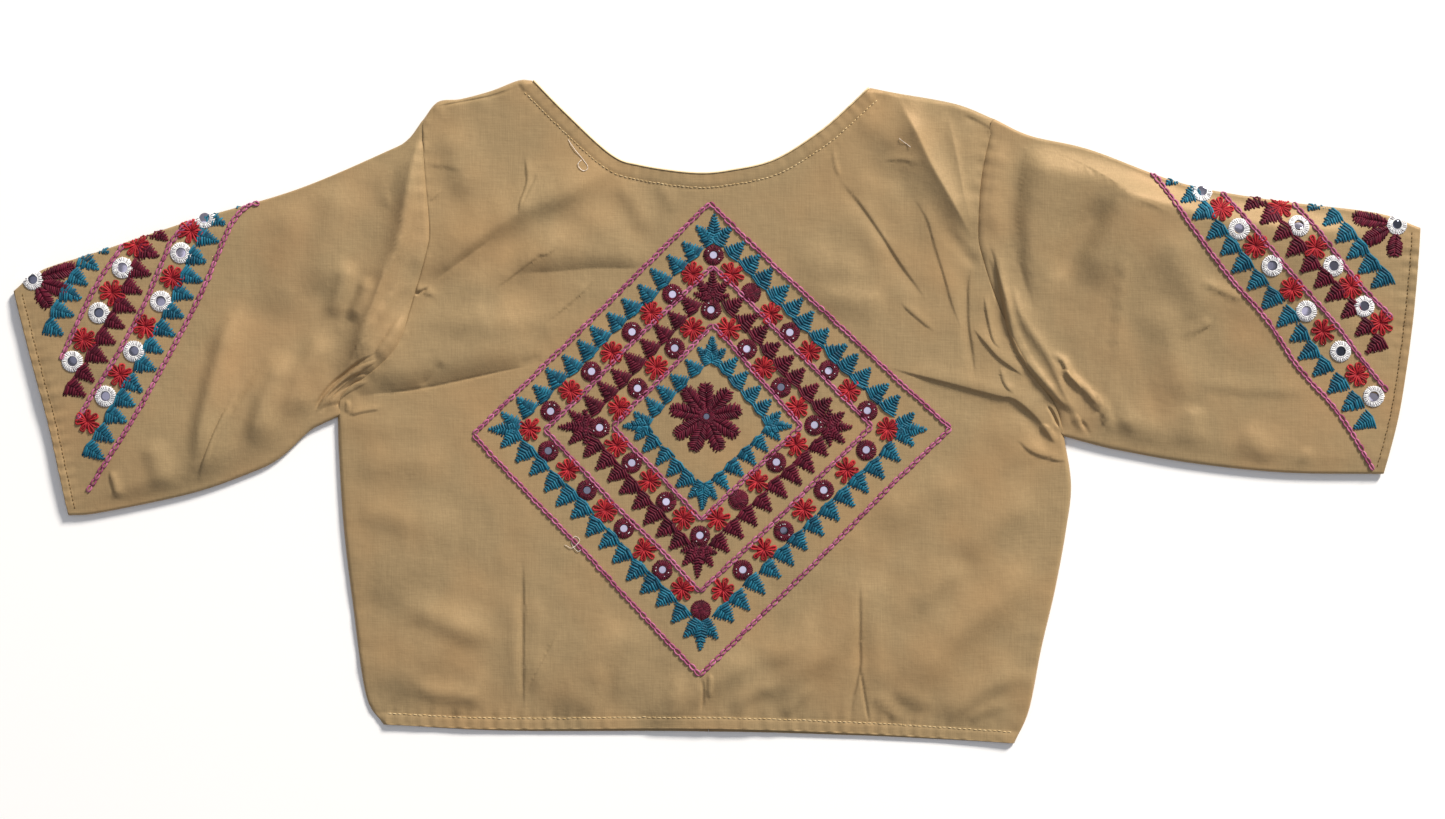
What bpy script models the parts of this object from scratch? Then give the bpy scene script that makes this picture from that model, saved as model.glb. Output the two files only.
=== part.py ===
"""A choli blouse of woven cotton silk, laid flat with its back uppermost.

The back panel lies on the two front panels, and each sleeve is a flattened tube sewn into its
armhole. Lengths in the tables are in millimetres. +X is to the right of the blouse as it is
seen from above, +Y points from the hem to the neck and +Z up from the surface it lies on.
"""

import math
from collections import namedtuple

import bmesh
import bpy
import numpy as np

MM = 0.001

# Cloth and seams.
WALL = 1.2
SEAM_GAP = 0.3
ARMHOLE_GAP = 0.6
HEM_DEPTH = 8.4
CUFF_HEM_DEPTH = 6.0
HEM_RISE = 0.5
STITCH_SPREAD = 3.5
BACK_OVER_FRONT_HEM = 1.8

# Heights of the upper cloth above the surface that the blouse lies on.
BACK_LEVEL = 2 * WALL + SEAM_GAP + 0.05
FOLD_RADIUS = 1.8
SLEEVE_CROWN = 1.0
MOST_LIFT = 3.6
LEAST_LIFT = 0.3

# The facing that binds the back neck, and the strip behind the front opening.
FACING_WIDTH = 8.0
FACING_WALL = 1.0
PLACKET_WIDTH = 25.0
PLACKET_WALL = 1.0
CENTRE_FRONT_X = -5.0
PLACKET_SPREAD = 14.0

# The middle of the whole outline in the tables below. The blouse is built round it.
MIDDLE = (0.3, 0.75, 0.0)

# Grid steps. An armhole has the same steps in the panel and in the sleeve, so that their
# edges stay parallel.
ARMHOLE_STEPS = 18
SIDE_STEPS = 18
SHOULDER_STEPS = 7
NECK_STEPS = 30
SLEEVE_STEPS = 20
FRONT_SIDE_STEPS = 6
FRONT_STEPS = 7
ARMHOLE_LENGTH = 180.0
SLEEVE_LENGTH = 230.0

# Keeps the rows of a sleeve's grid square to its armhole where the two meet.
SLEEVE_BULGE = 150.0

# Shares of the hem below each shoulder and the neck, so that the grid's columns run upright.
HEM_UNDER_NECK = (0.23, 0.77)
SIDE_SHARE = 0.5

# Edges seen from above, as points (x, y) that a smooth curve runs through.
SIDE_LEFT = [(-200.0, -187.0), (-210.6, -169.0), (-218.4, -115.0), (-223.8, -70.0),
             (-226.8, -25.0), (-227.5, -2.4)]
SIDE_RIGHT = [(178.8, -198.3), (187.8, -178.0), (195.0, -142.0), (203.4, -106.0),
              (210.0, -70.0), (213.0, -43.0), (208.8, -14.0)]
BACK_HEM = [(-200.0, -187.0), (-127.0, -190.0), (-10.0, -189.4), (80.0, -192.4),
            (134.0, -195.4), (178.8, -198.3)]
ARMHOLE_LEFT = [(-227.5, -2.4), (-226.0, 8.4), (-219.5, 16.4), (-208.5, 23.4), (-191.5, 41.1),
                (-181.6, 70.1), (-173.8, 97.8), (-172.4, 112.0), (-175.2, 144.5), (-176.6, 175.7)]
ARMHOLE_RIGHT = [(208.8, -14.0), (202.6, 5.1), (185.1, 31.2), (169.8, 63.3), (159.4, 93.8),
                 (157.0, 109.7), (159.0, 141.7), (166.5, 176.7)]
SHOULDER_LEFT = [(-176.6, 175.7), (-167.4, 186.9), (-153.6, 188.7), (-135.6, 193.5),
                 (-119.0, 199.8), (-111.0, 199.8)]
SHOULDER_RIGHT = [(92.4, 195.3), (107.4, 192.3), (143.4, 185.7), (166.5, 176.7)]
NECK_BACK = [(-111.0, 199.8), (-90.6, 179.1), (-63.6, 154.5), (-45.6, 147.9), (-13.8, 143.4),
             (8.4, 144.9), (35.4, 151.5), (62.4, 168.3), (80.4, 183.9), (92.4, 195.3)]
NECK_FRONT_LEFT = [(CENTRE_FRONT_X, 38.0), (-52.0, 52.0), (-84.0, 95.0), (-100.0, 150.0),
                   (-111.0, 199.8)]
NECK_FRONT_RIGHT = [(CENTRE_FRONT_X, 38.0), (40.0, 52.0), (70.0, 95.0), (84.0, 148.0),
                    (92.4, 195.3)]
SLEEVE_TOP_LEFT = [(-176.6, 175.7), (-185.4, 164.1), (-198.6, 156.9), (-252.6, 134.1),
                   (-315.6, 115.5), (-369.6, 97.5), (-406.0, 85.5), (-421.8, 73.5)]
SLEEVE_TOP_RIGHT = [(166.5, 176.7), (188.4, 166.5), (224.4, 158.1), (278.4, 138.3),
                    (332.4, 128.1), (395.4, 120.3), (422.4, 111.3)]
CUFF_LEFT = [(-421.8, 73.5), (-410.4, 29.1), (-400.8, -6.9), (-388.8, -61.5)]
CUFF_RIGHT = [(422.4, 111.3), (417.6, 56.1), (409.8, 2.1), (400.2, -36.6)]
SLEEVE_LOW_LEFT = [(-227.5, -2.4), (-236.7, -6.6), (-245.0, -11.4), (-262.0, -27.0),
                   (-280.0, -36.0), (-315.6, -48.3), (-369.6, -59.7), (-388.8, -61.5)]
SLEEVE_LOW_RIGHT = [(208.8, -14.0), (224.4, -18.3), (242.4, -22.5), (287.4, -30.3),
                    (341.4, -35.7), (400.2, -36.6)]

# How far the front armholes are scooped deeper than the back ones, at their middle.
FRONT_SCOOP = 9.0

# A fold runs from (x0, y0) to (x1, y1), bowed to its left by bow at the middle. Its ridge, or
# its trough where height is negative, falls away over spread on each side.
Fold = namedtuple("Fold", "x0 y0 x1 y1 bow spread height")

BACK_FOLDS = [
    Fold(-224, 14, -104, 34, -4, 7, 2.6),
    Fold(-182, 74, -116, 118, 3, 7, -1.6),
    Fold(-176, 82, -112, 128, 4, 6, 2.0),
    Fold(-156, 60, -92, 104, 2, 7, 1.6),
    Fold(-160, 96, -76, 138, 6, 10, 2.2),
    Fold(-118, 80, -60, 86, -2, 6, 1.6),
    Fold(-106, 54, -70, 84, 1, 5, 1.2),
    Fold(-168, 34, -150, 18, 2, 5, 1.4),
    Fold(-120, 112, -116, 148, 0, 5, 1.0),
    Fold(-44, 140, -28, 110, 1, 5, 1.0),
    Fold(112, 26, 184, 10, -2, 6, 2.8),
    Fold(182, 12, 206, -22, 3, 6, 2.4),
    Fold(80, 132, 128, 70, 1, 5, 1.4),
    Fold(112, 136, 150, 52, 4, 8, 1.8),
    Fold(122, 158, 162, 92, 2, 9, -1.8),
    Fold(152, 90, 156, 24, -4, 5, 1.8),
    Fold(154, 56, 188, 20, -3, 5, 1.6),
    Fold(72, 62, 104, 58, 1, 5, 1.4),
    Fold(180, -14, 210, -28, 2, 5, 1.4),
    Fold(60, 86, 96, 100, 0, 9, 1.4),
    Fold(-115, -72, -115, -189, 0, 4, 0.9),
    Fold(90, -120, 85, -193, 0, 4, 0.9),
    Fold(-114, -170, -76, -104, 0, 6, 1.2),
    Fold(-198, -168, -166, -180, 1, 6, 1.2),
    Fold(52, -136, 80, -148, 1, 7, 1.4),
    Fold(104, -172, 136, -170, -2, 7, 1.4),
    Fold(140, -160, 184, -170, 2, 9, 1.6),
    Fold(-64, -130, -30, -176, 2, 12, 1.6),
    Fold(-8, -154, -6, -186, 0, 6, 1.0),
    Fold(-214, -60, -206, -150, 0, 12, 1.2),
    Fold(176, -60, 150, -140, 4, 14, 1.4),
]
SLEEVE_LEFT_FOLDS = [
    Fold(-184, 160, -214, 30, 14, 8, 2.4),
    Fold(-196, 150, -228, 34, 16, 7, -1.6),
    Fold(-214, 26, -240, -2, 2, 5, 2.2),
    Fold(-202, 40, -222, 14, 1, 4, 1.8),
    Fold(-288, 48, -310, -36, 5, 10, -1.8),
    Fold(-276, 44, -300, -34, 5, 8, 1.8),
    Fold(-262, 34, -304, -34, -3, 8, 1.6),
    Fold(-280, 0, -278, -30, 0, 6, 1.2),
    Fold(-248, 58, -242, 26, 0, 6, 1.0),
    Fold(-344, -20, -350, -54, 0, 8, 1.2),
]
SLEEVE_RIGHT_FOLDS = [
    Fold(188, 164, 184, 64, 8, 9, 2.4),
    Fold(214, 140, 198, 74, 2, 12, 2.0),
    Fold(240, 136, 206, 82, -2, 12, -1.8),
    Fold(160, 106, 202, 10, -6, 5, 2.6),
    Fold(182, 62, 210, 10, 3, 5, 2.0),
    Fold(200, 34, 236, -12, 4, 6, 2.6),
    Fold(206, 10, 220, -6, 0, 4, 1.6),
    Fold(188, 158, 278, 118, 8, 6, 1.2),
    Fold(238, 108, 236, 18, 0, 6, 0.9),
    Fold(300, 20, 330, -20, 2, 12, 1.2),
]


def clear_scene():
    for obj in list(bpy.data.objects):
        bpy.data.objects.remove(obj)


def smooth_path(points):
    """A function from shares 0 to 1 of the length to points on the smooth curve through points."""
    through = np.array(points, float)
    ends = np.vstack([2 * through[0] - through[1], through, 2 * through[-1] - through[-2]])
    dense = []
    for before, start, end, after in zip(ends, ends[1:], ends[2:], ends[3:]):
        t = np.linspace(0, 1, 24, endpoint=False)[:, None]
        pull_out = (end - before) / 2
        pull_in = (after - start) / 2
        dense.append(
            (2 * t**3 - 3 * t**2 + 1) * start
            + (t**3 - 2 * t**2 + t) * pull_out
            + (3 * t**2 - 2 * t**3) * end
            + (t**3 - t**2) * pull_in
        )
    dense = np.vstack(dense + [through[-1:]])
    run = np.concatenate([[0], np.cumsum(np.linalg.norm(np.diff(dense, axis=0), axis=1))])

    def at(share):
        wanted = np.asarray(share, float) * run[-1]
        return np.stack([np.interp(wanted, run, dense[:, k]) for k in (0, 1)], axis=-1)

    return at


def in_turn(paths, shares):
    """One path from several that meet end to end. shares are where, from 0 to 1, each one ends."""
    starts = [0.0, *shares[:-1]]

    def at(share):
        share = np.asarray(share, float)
        point = paths[0](np.clip((share - starts[0]) / (shares[0] - starts[0]), 0, 1))
        for path, start, end in zip(paths[1:], starts[1:], shares[1:]):
            own = path(np.clip((share - start) / (end - start), 0, 1))
            point = np.where((share > start)[..., None], own, point)
        return point

    return at


def backwards(path):
    return lambda share: path(1 - np.asarray(share, float))


def leftward(path, share):
    """The unit vector to the left of a path at each share of it."""
    share = np.asarray(share, float)
    along = path(np.minimum(share + 0.01, 1)) - path(np.maximum(share - 0.01, 0))
    along /= np.linalg.norm(along, axis=-1, keepdims=True)
    return np.stack([-along[..., 1], along[..., 0]], axis=-1)


def moved_out(path, distance):
    """The path moved to its left by distance."""
    return lambda share: path(share) + distance * leftward(path, share)


def scooped(path, depth, side):
    """The path bowed towards side * X by depth at its middle, with its ends kept."""

    def at(share):
        share = np.asarray(share, float)
        point = path(share)
        point[..., 0] += side * depth * np.sin(math.pi * share)
        return point

    return at


def patch(low, high, left, right, u, v):
    """The Coons patch between four edges, at the shares u across and v up."""
    u, v = np.asarray(u, float), np.asarray(v, float)
    across, up = u[..., None], v[..., None]
    corners = (
        (1 - across) * (1 - up) * low(0.0)
        + across * (1 - up) * low(1.0)
        + (1 - across) * up * high(0.0)
        + across * up * high(1.0)
    )
    between_rows = (1 - up) * low(u) + up * high(u)
    between_columns = (1 - across) * left(v) + across * right(v)
    return between_rows + between_columns - corners


def smooth_step(value):
    value = np.clip(value, 0, 1)
    return value * value * (3 - 2 * value)


def fold_heights(xy, folds):
    """How far the folds lift the cloth at each point, rounded off at the largest lift."""
    lift = np.zeros(xy.shape[:-1])
    for fold in folds:
        start = np.array([fold.x0, fold.y0], float)
        run = np.array([fold.x1, fold.y1], float) - start
        length = np.linalg.norm(run)
        along = run / length
        share = (xy - start) @ along / length
        beside = (xy - start) @ np.array([-along[1], along[0]])
        inside = np.clip(share, 0, 1)
        beside = beside - fold.bow * 4 * inside * (1 - inside)
        past_end = (share - inside) * length
        ends = smooth_step(share / 0.25 + 0.35) * smooth_step((1 - share) / 0.25 + 0.35)
        fall = np.exp(-(beside**2 + past_end**2) / fold.spread**2)
        lift += fold.height * fall * ends
    raised = (lift + np.hypot(lift, LEAST_LIFT)) / 2
    return MOST_LIFT * np.tanh(raised / MOST_LIFT)


def distance_to(path, xy):
    """Distance from each point to a path."""
    line = path(np.linspace(0, 1, 240))
    gaps = np.linalg.norm(xy[..., None, :] - line, axis=-1)
    return gaps.min(axis=-1)


def hem_rise(distance, depth):
    """A turned hem stands up as far as its stitching, where the cloth is drawn down."""
    return HEM_RISE * (1 - smooth_step((distance - depth) / STITCH_SPREAD))


def material(name, colour, roughness):
    made = bpy.data.materials.new(name)
    made.use_nodes = True
    surface = made.node_tree.nodes["Principled BSDF"]
    surface.inputs["Base Color"].default_value = (*colour, 1)
    surface.inputs["Roughness"].default_value = roughness
    surface.inputs["Metallic"].default_value = 0.0
    made.diffuse_color = (*colour, 1)
    return made


def bent_grid(name, columns, rows, place, cloth, collection):
    """A flat grid whose points place() moves, from shares of its columns and rows to metres."""
    mesh = bpy.data.meshes.new(name)
    bm = bmesh.new()
    bmesh.ops.create_grid(
        bm, x_segments=len(columns) - 1, y_segments=len(rows) - 1, size=0.5
    )
    bm.verts.ensure_lookup_table()
    flat = np.array([vert.co for vert in bm.verts])
    u = np.interp(flat[:, 0] + 0.5, np.linspace(0, 1, len(columns)), columns)
    v = np.interp(flat[:, 1] + 0.5, np.linspace(0, 1, len(rows)), rows)
    for vert, point in zip(bm.verts, (place(u, v) - MIDDLE) * MM):
        vert.co = point
    bm.to_mesh(mesh)
    bm.free()
    mesh.shade_smooth()
    mesh.materials.append(cloth)
    obj = bpy.data.objects.new(name, mesh)
    collection.objects.link(obj)
    return obj


def thicken(obj, wall, offset):
    """Gives the sheet its wall: offset -1 puts it behind the faces and 1 in front of them."""
    solid = obj.modifiers.new("wall", "SOLIDIFY")
    solid.thickness = wall * MM
    solid.offset = offset
    solid.use_even_offset = False
    return obj


def steps(*stretches):
    """Shares from 0 to 1 out of (end, count) stretches, each one evenly divided."""
    shares, start = [0.0], 0.0
    for end, count in stretches:
        shares += list(np.linspace(start, end, count + 1)[1:])
        start = end
    return shares


def with_hem(shares, length, depth):
    """Adds the rows on both sides of a hem's stitching, where length is that of the panel."""
    hem = [depth / length, (depth + STITCH_SPREAD) / length]
    return [0.0, *hem, *[share for share in shares if share > 1.5 * hem[1]]]


def armhole_shares():
    """Shares along an armhole, closer together where a flattened sleeve is folded."""
    fold = FOLD_RADIUS / ARMHOLE_LENGTH
    inner = steps((1.0, ARMHOLE_STEPS))[1:-1]
    return [0.0, 0.3 * fold, fold, *inner, 1 - fold, 1 - 0.3 * fold, 1.0]


def side_rows(side_steps):
    """Rows of a panel: evenly spaced up the side seam, then as the sleeve's along the armhole."""
    side = list(np.linspace(0, SIDE_SHARE, side_steps + 1))
    return side + [SIDE_SHARE + (1 - SIDE_SHARE) * share for share in armhole_shares()[1:]]


def back_height(xy, neck):
    """Height of the back panel's outer face."""
    placket = np.exp(-(((xy[..., 0] - CENTRE_FRONT_X) / (PLACKET_WIDTH / 2 + PLACKET_SPREAD)) ** 4))
    facing = 1 - smooth_step((distance_to(neck, xy) - FACING_WIDTH - 6) / 8)
    padding = np.maximum(
        (PLACKET_WALL + SEAM_GAP + 0.15) * placket, (FACING_WALL + SEAM_GAP) * facing
    )
    hem = hem_rise(distance_to(smooth_path(BACK_HEM), xy), HEM_DEPTH)
    return BACK_LEVEL + padding + hem + fold_heights(xy, BACK_FOLDS)


def back_panel(cloth, collection):
    neck = smooth_path(NECK_BACK)
    low = smooth_path(BACK_HEM)
    top = in_turn(
        [smooth_path(SHOULDER_LEFT), neck, smooth_path(SHOULDER_RIGHT)],
        [*HEM_UNDER_NECK, 1.0],
    )
    left = in_turn([smooth_path(SIDE_LEFT), smooth_path(ARMHOLE_LEFT)], [SIDE_SHARE, 1.0])
    right = in_turn([smooth_path(SIDE_RIGHT), smooth_path(ARMHOLE_RIGHT)], [SIDE_SHARE, 1.0])
    columns = steps(
        (HEM_UNDER_NECK[0], SHOULDER_STEPS), (HEM_UNDER_NECK[1], NECK_STEPS), (1.0, SHOULDER_STEPS)
    )
    rows = with_hem(side_rows(SIDE_STEPS), 380.0, HEM_DEPTH)

    def place(u, v):
        xy = patch(low, top, left, right, u, v)
        return np.column_stack([xy, back_height(xy, neck)])

    return thicken(bent_grid("back_panel", columns, rows, place, cloth, collection), WALL, -1)


def front_panel(name, side, cloth, collection):
    """One front, flat on the surface. side is -1 for the left one and 1 for the right one."""
    is_left = side < 0
    half_gap = side * SEAM_GAP / 2
    hem = smooth_path([(x, y - BACK_OVER_FRONT_HEM) for x, y in BACK_HEM])
    seam = smooth_path(SIDE_LEFT if is_left else SIDE_RIGHT)
    armhole = scooped(
        smooth_path(ARMHOLE_LEFT if is_left else ARMHOLE_RIGHT), FRONT_SCOOP, -side
    )
    neck = smooth_path(NECK_FRONT_LEFT if is_left else NECK_FRONT_RIGHT)
    shoulder = smooth_path(SHOULDER_LEFT if is_left else SHOULDER_RIGHT)
    hem_at_centre = (CENTRE_FRONT_X - hem(0.0)[0]) / (hem(1.0)[0] - hem(0.0)[0])
    centre = smooth_path([hem(hem_at_centre), neck(0.0)])
    outer = in_turn([seam, armhole], [SIDE_SHARE, 1.0])
    inner = in_turn([centre, neck], [SIDE_SHARE, 1.0])
    if is_left:
        low = lambda u: hem(u * hem_at_centre)
        left, right = outer, inner
    else:
        low = lambda u: hem(hem_at_centre + u * (1 - hem_at_centre))
        left, right = inner, outer
    columns = steps((1.0, FRONT_STEPS))
    rows = side_rows(FRONT_SIDE_STEPS)

    def place(u, v):
        xy = patch(low, shoulder, left, right, u, v)
        xy[:, 0] += half_gap * np.where(is_left, u, 1 - u)
        return np.column_stack([xy, np.zeros(len(u))])

    return thicken(bent_grid(name, columns, rows, place, cloth, collection), WALL, 1)


def sleeve(name, side, folds, cloth, collection):
    """A flattened tube. It is one piece of cloth, folded along the arm's top and sewn below."""
    is_left = side < 0
    back_armhole = backwards(smooth_path(ARMHOLE_LEFT if is_left else ARMHOLE_RIGHT))
    front_armhole = scooped(back_armhole, FRONT_SCOOP, -side)
    top = smooth_path(SLEEVE_TOP_LEFT if is_left else SLEEVE_TOP_RIGHT)
    low = smooth_path(SLEEVE_LOW_LEFT if is_left else SLEEVE_LOW_RIGHT)
    cuff = smooth_path(CUFF_LEFT if is_left else CUFF_RIGHT)
    fold_share = FOLD_RADIUS / ARMHOLE_LENGTH
    across = armhole_shares()
    upper = [(share, 1) for share in reversed(across)]
    lower = [(share, -1) for share in across[1:]]
    layer_share, layer_side = np.array(upper + lower, float).T
    shares_from_cuff = with_hem(steps((1.0, SLEEVE_STEPS)), SLEEVE_LENGTH, CUFF_HEM_DEPTH)
    stations = [1 - share for share in reversed(shares_from_cuff)]

    def place(u, v):
        which = np.rint(u * (len(layer_share) - 1)).astype(int)
        share, is_upper = layer_share[which], layer_side[which][:, None] > 0
        over = patch(top, low, back_armhole, cuff, v, share)
        under = patch(top, low, front_armhole, cuff, v, share)
        away_over = side * leftward(back_armhole, share)
        away_under = side * leftward(front_armhole, share)
        from_fold = np.minimum(share, 1 - share) / fold_share
        gap = ARMHOLE_GAP * (2.4 - 1.4 * smooth_step(from_fold))
        bulge = SLEEVE_BULGE * v * (1 - v) ** 3 * (1 - (2 * share - 1) ** 8)
        xy = np.where(is_upper, over, under)
        away = np.where(is_upper, away_over, away_under)
        xy += (gap * (1 - v) + bulge)[:, None] * away
        rounding = np.sqrt(1 - (1 - np.clip(from_fold, 0, 1)) ** 2)
        inland = smooth_step((from_fold - 1) / 6)
        crown = SLEEVE_CROWN * np.sin(math.pi * share)
        hem = hem_rise(distance_to(cuff, xy), CUFF_HEM_DEPTH)
        raised = (crown + hem + fold_heights(xy, folds)) * inland
        upper_height = FOLD_RADIUS * (1 + rounding) + raised
        lower_height = FOLD_RADIUS * (1 - rounding)
        return np.column_stack([xy, np.where(is_upper[:, 0], upper_height, lower_height)])

    columns = np.linspace(0, 1, len(layer_share))
    obj = bent_grid(name, columns, stations, place, cloth, collection)
    sew_underarm(obj, side > 0)
    return thicken(obj, WALL, -1)


def sew_underarm(obj, is_turned):
    """Joins the two long edges of a sleeve's cloth, and turns it outside in if is_turned."""
    bm = bmesh.new()
    bm.from_mesh(obj.data)
    bmesh.ops.remove_doubles(bm, verts=bm.verts, dist=0.02 * MM)
    if is_turned:
        bmesh.ops.reverse_faces(bm, faces=bm.faces)
    bm.to_mesh(obj.data)
    bm.free()


def strip_beside(path, width, level, shares):
    """A place function for a strip on a path's right, and that far wide."""
    inner = moved_out(path, -width)

    def place(u, v):
        share = np.interp(u, np.linspace(0, 1, len(shares)), shares)
        xy = (1 - v)[:, None] * inner(share) + v[:, None] * path(share)
        return np.column_stack([xy, np.full(len(u), level)])

    return place


def neck_facing(cloth, collection):
    """The bias strip turned to the inside of the back neck, between the back and the fronts."""
    shares = np.linspace(0.02, 0.98, NECK_STEPS + 1)
    level = BACK_LEVEL - WALL + FACING_WALL
    place = strip_beside(moved_out(smooth_path(NECK_BACK), -0.6), FACING_WIDTH, level, shares)
    columns = np.linspace(0, 1, len(shares))
    obj = bent_grid("neck_facing", columns, [0.0, 0.5, 1.0], place, cloth, collection)
    return thicken(obj, FACING_WALL, -1)


def front_placket(cloth, collection):
    """The strip behind the front opening, on the inside of the two fronts."""
    low = smooth_path(BACK_HEM)(0.52)[1] + 1.0
    high = NECK_FRONT_LEFT[0][1] - 1.0
    level = WALL + SEAM_GAP + PLACKET_WALL

    def place(u, v):
        x = CENTRE_FRONT_X + (u - 0.5) * PLACKET_WIDTH
        return np.column_stack([x, low + v * (high - low), np.full(len(u), level)])

    obj = bent_grid("front_placket", [0.0, 1.0], [0.0, 1.0], place, cloth, collection)
    return thicken(obj, PLACKET_WALL, -1)


def main():
    clear_scene()
    collection = bpy.data.collections.new("choli_blouse")
    bpy.context.scene.collection.children.link(collection)
    cloth = material("cotton_silk", (0.44, 0.30, 0.145), 0.55)
    lining = material("bias_cotton", (0.46, 0.33, 0.17), 0.7)
    back_panel(cloth, collection)
    front_panel("front_left", -1, cloth, collection)
    front_panel("front_right", 1, cloth, collection)
    sleeve("sleeve_left", -1, SLEEVE_LEFT_FOLDS, cloth, collection)
    sleeve("sleeve_right", 1, SLEEVE_RIGHT_FOLDS, cloth, collection)
    neck_facing(lining, collection)
    front_placket(lining, collection)


main()
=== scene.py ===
"""A choli blouse of cotton silk with mirror-work embroidery, laid flat with its back up."""

import math
from collections import namedtuple

import bpy
import numpy as np
from bpy.props import FloatProperty, FloatVectorProperty, IntProperty, PointerProperty
from mathutils.bvhtree import BVHTree
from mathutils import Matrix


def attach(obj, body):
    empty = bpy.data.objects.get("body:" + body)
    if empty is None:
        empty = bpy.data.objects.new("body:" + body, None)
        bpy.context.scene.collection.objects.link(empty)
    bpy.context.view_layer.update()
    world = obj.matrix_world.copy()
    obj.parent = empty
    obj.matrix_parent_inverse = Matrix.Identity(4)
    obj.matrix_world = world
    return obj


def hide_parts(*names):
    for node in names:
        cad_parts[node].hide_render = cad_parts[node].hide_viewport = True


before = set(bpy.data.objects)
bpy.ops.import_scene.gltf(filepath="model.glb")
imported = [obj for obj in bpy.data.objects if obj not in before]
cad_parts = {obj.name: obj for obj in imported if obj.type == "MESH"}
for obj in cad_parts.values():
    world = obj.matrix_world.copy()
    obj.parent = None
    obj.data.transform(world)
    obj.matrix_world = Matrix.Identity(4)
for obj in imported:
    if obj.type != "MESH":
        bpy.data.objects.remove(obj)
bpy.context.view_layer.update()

bl_info = {
    "name": "Choli Blouse",
    "version": (1, 0, 0),
    "blender": (4, 5, 0),
    "location": "View3D > Sidebar > Choli",
    "description": "Builds a laid-out choli blouse with its folds, sewing and mirror-work embroidery",
    "category": "Add Mesh",
}

MM = 0.001

# The middle of the whole outline in the tables below, which are in millimetres. The blouse is
# built round it.
MIDDLE = np.array([0.3, 0.75, 0.0])

# Heights of the cloth in millimetres above the surface that the blouse lies on.
BACK_LEVEL = 3.5
SEWN_LEVEL = 0.75
FOLD_RADIUS = 1.8
SLEEVE_RISE = 1.3
PLACKET_RISE = 0.9
HIGHEST_DENT = 0.9

# Distances in millimetres: one that stands for out of reach, the width below which a crease is
# sharp, and how near to a sharp crease the grid is cut 4 x 4 and 2 x 2.
FAR = 1e3
SHARP_WIDTH = 2.6
FINEST_REACH = 1.3
FINER_REACH = 3.1

# How far each row of stitches runs from its edge.
HEM_STITCH = 6.8
NECK_STITCH = 7.9
CUFF_STITCH = 4.8
FRONT_HEM_STITCH = 8.4
FRONT_NECK_STITCH = 7.6
FRONT_EDGE_STITCH = 11.0

# Edges seen from above, as points (x, y) that a smooth curve runs through.
SIDE_LEFT = [(-200.0, -187.0), (-210.6, -169.0), (-218.4, -115.0), (-223.8, -70.0),
             (-226.8, -25.0), (-227.5, -2.4)]
SIDE_RIGHT = [(178.8, -198.3), (187.8, -178.0), (195.0, -142.0), (203.4, -106.0),
              (210.0, -70.0), (213.0, -43.0), (208.8, -14.0)]
BACK_HEM = [(-200.0, -187.0), (-127.0, -190.0), (-10.0, -189.4), (80.0, -192.4),
            (134.0, -195.4), (178.8, -198.3)]
ARMHOLE_LEFT = [(-227.5, -2.4), (-226.0, 8.4), (-219.5, 16.4), (-208.5, 23.4), (-191.5, 41.1),
                (-181.6, 70.1), (-173.8, 97.8), (-172.4, 112.0), (-175.2, 144.5), (-176.6, 175.7)]
ARMHOLE_RIGHT = [(208.8, -14.0), (202.6, 5.1), (185.1, 31.2), (169.8, 63.3), (159.4, 93.8),
                 (157.0, 109.7), (159.0, 141.7), (166.5, 176.7)]
SHOULDER_LEFT = [(-176.6, 175.7), (-167.4, 186.9), (-153.6, 188.7), (-135.6, 193.5),
                 (-119.0, 199.8), (-111.0, 199.8)]
SHOULDER_RIGHT = [(92.4, 195.3), (107.4, 192.3), (143.4, 185.7), (166.5, 176.7)]
NECK_BACK = [(-111.0, 199.8), (-90.6, 179.1), (-63.6, 154.5), (-45.6, 147.9), (-13.8, 143.4),
             (8.4, 144.9), (35.4, 151.5), (62.4, 168.3), (80.4, 183.9), (92.4, 195.3)]
CENTRE_FRONT_X = -5.0
NECK_FRONT_LEFT = [(CENTRE_FRONT_X, 38.0), (-52.0, 52.0), (-84.0, 95.0), (-100.0, 150.0),
                   (-111.0, 199.8)]
NECK_FRONT_RIGHT = [(CENTRE_FRONT_X, 38.0), (40.0, 52.0), (70.0, 95.0), (84.0, 148.0),
                    (92.4, 195.3)]
SLEEVE_TOP_LEFT = [(-176.6, 175.7), (-185.4, 164.1), (-198.6, 156.9), (-252.6, 134.1),
                   (-315.6, 115.5), (-369.6, 97.5), (-406.0, 85.5), (-421.8, 73.5)]
SLEEVE_TOP_RIGHT = [(166.5, 176.7), (188.4, 166.5), (224.4, 158.1), (278.4, 138.3),
                    (332.4, 128.1), (395.4, 120.3), (422.4, 111.3)]
CUFF_LEFT = [(-421.8, 73.5), (-410.4, 29.1), (-400.8, -6.9), (-388.8, -61.5)]
CUFF_RIGHT = [(422.4, 111.3), (417.6, 56.1), (409.8, 2.1), (400.2, -36.6)]
SLEEVE_LOW_LEFT = [(-227.5, -2.4), (-236.7, -6.6), (-245.0, -11.4), (-262.0, -27.0),
                   (-280.0, -36.0), (-315.6, -48.3), (-369.6, -59.7), (-388.8, -61.5)]
SLEEVE_LOW_RIGHT = [(208.8, -14.0), (224.4, -18.3), (242.4, -22.5), (287.4, -30.3),
                    (341.4, -35.7), (400.2, -36.6)]
SLEEVE_SEAM_LEFT = [(-227.0, 6.0), (-237.0, 2.0), (-246.0, -5.0), (-256.0, -20.0),
                    (-266.0, -28.5), (-278.0, -34.0), (-300.0, -41.0)]
HEM_SHARES = (0.23, 0.77)
SIDE_SHARE = 0.5
FRONT_SCOOP = 9.0

# The camera's sensor in millimetres, and its distance and the width that it sees in metres.
SENSOR = 36
CAMERA_DISTANCE = 1.8
VIEW_WIDTH = 0.867
SLEEVE_BULGE = 150.0

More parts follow.
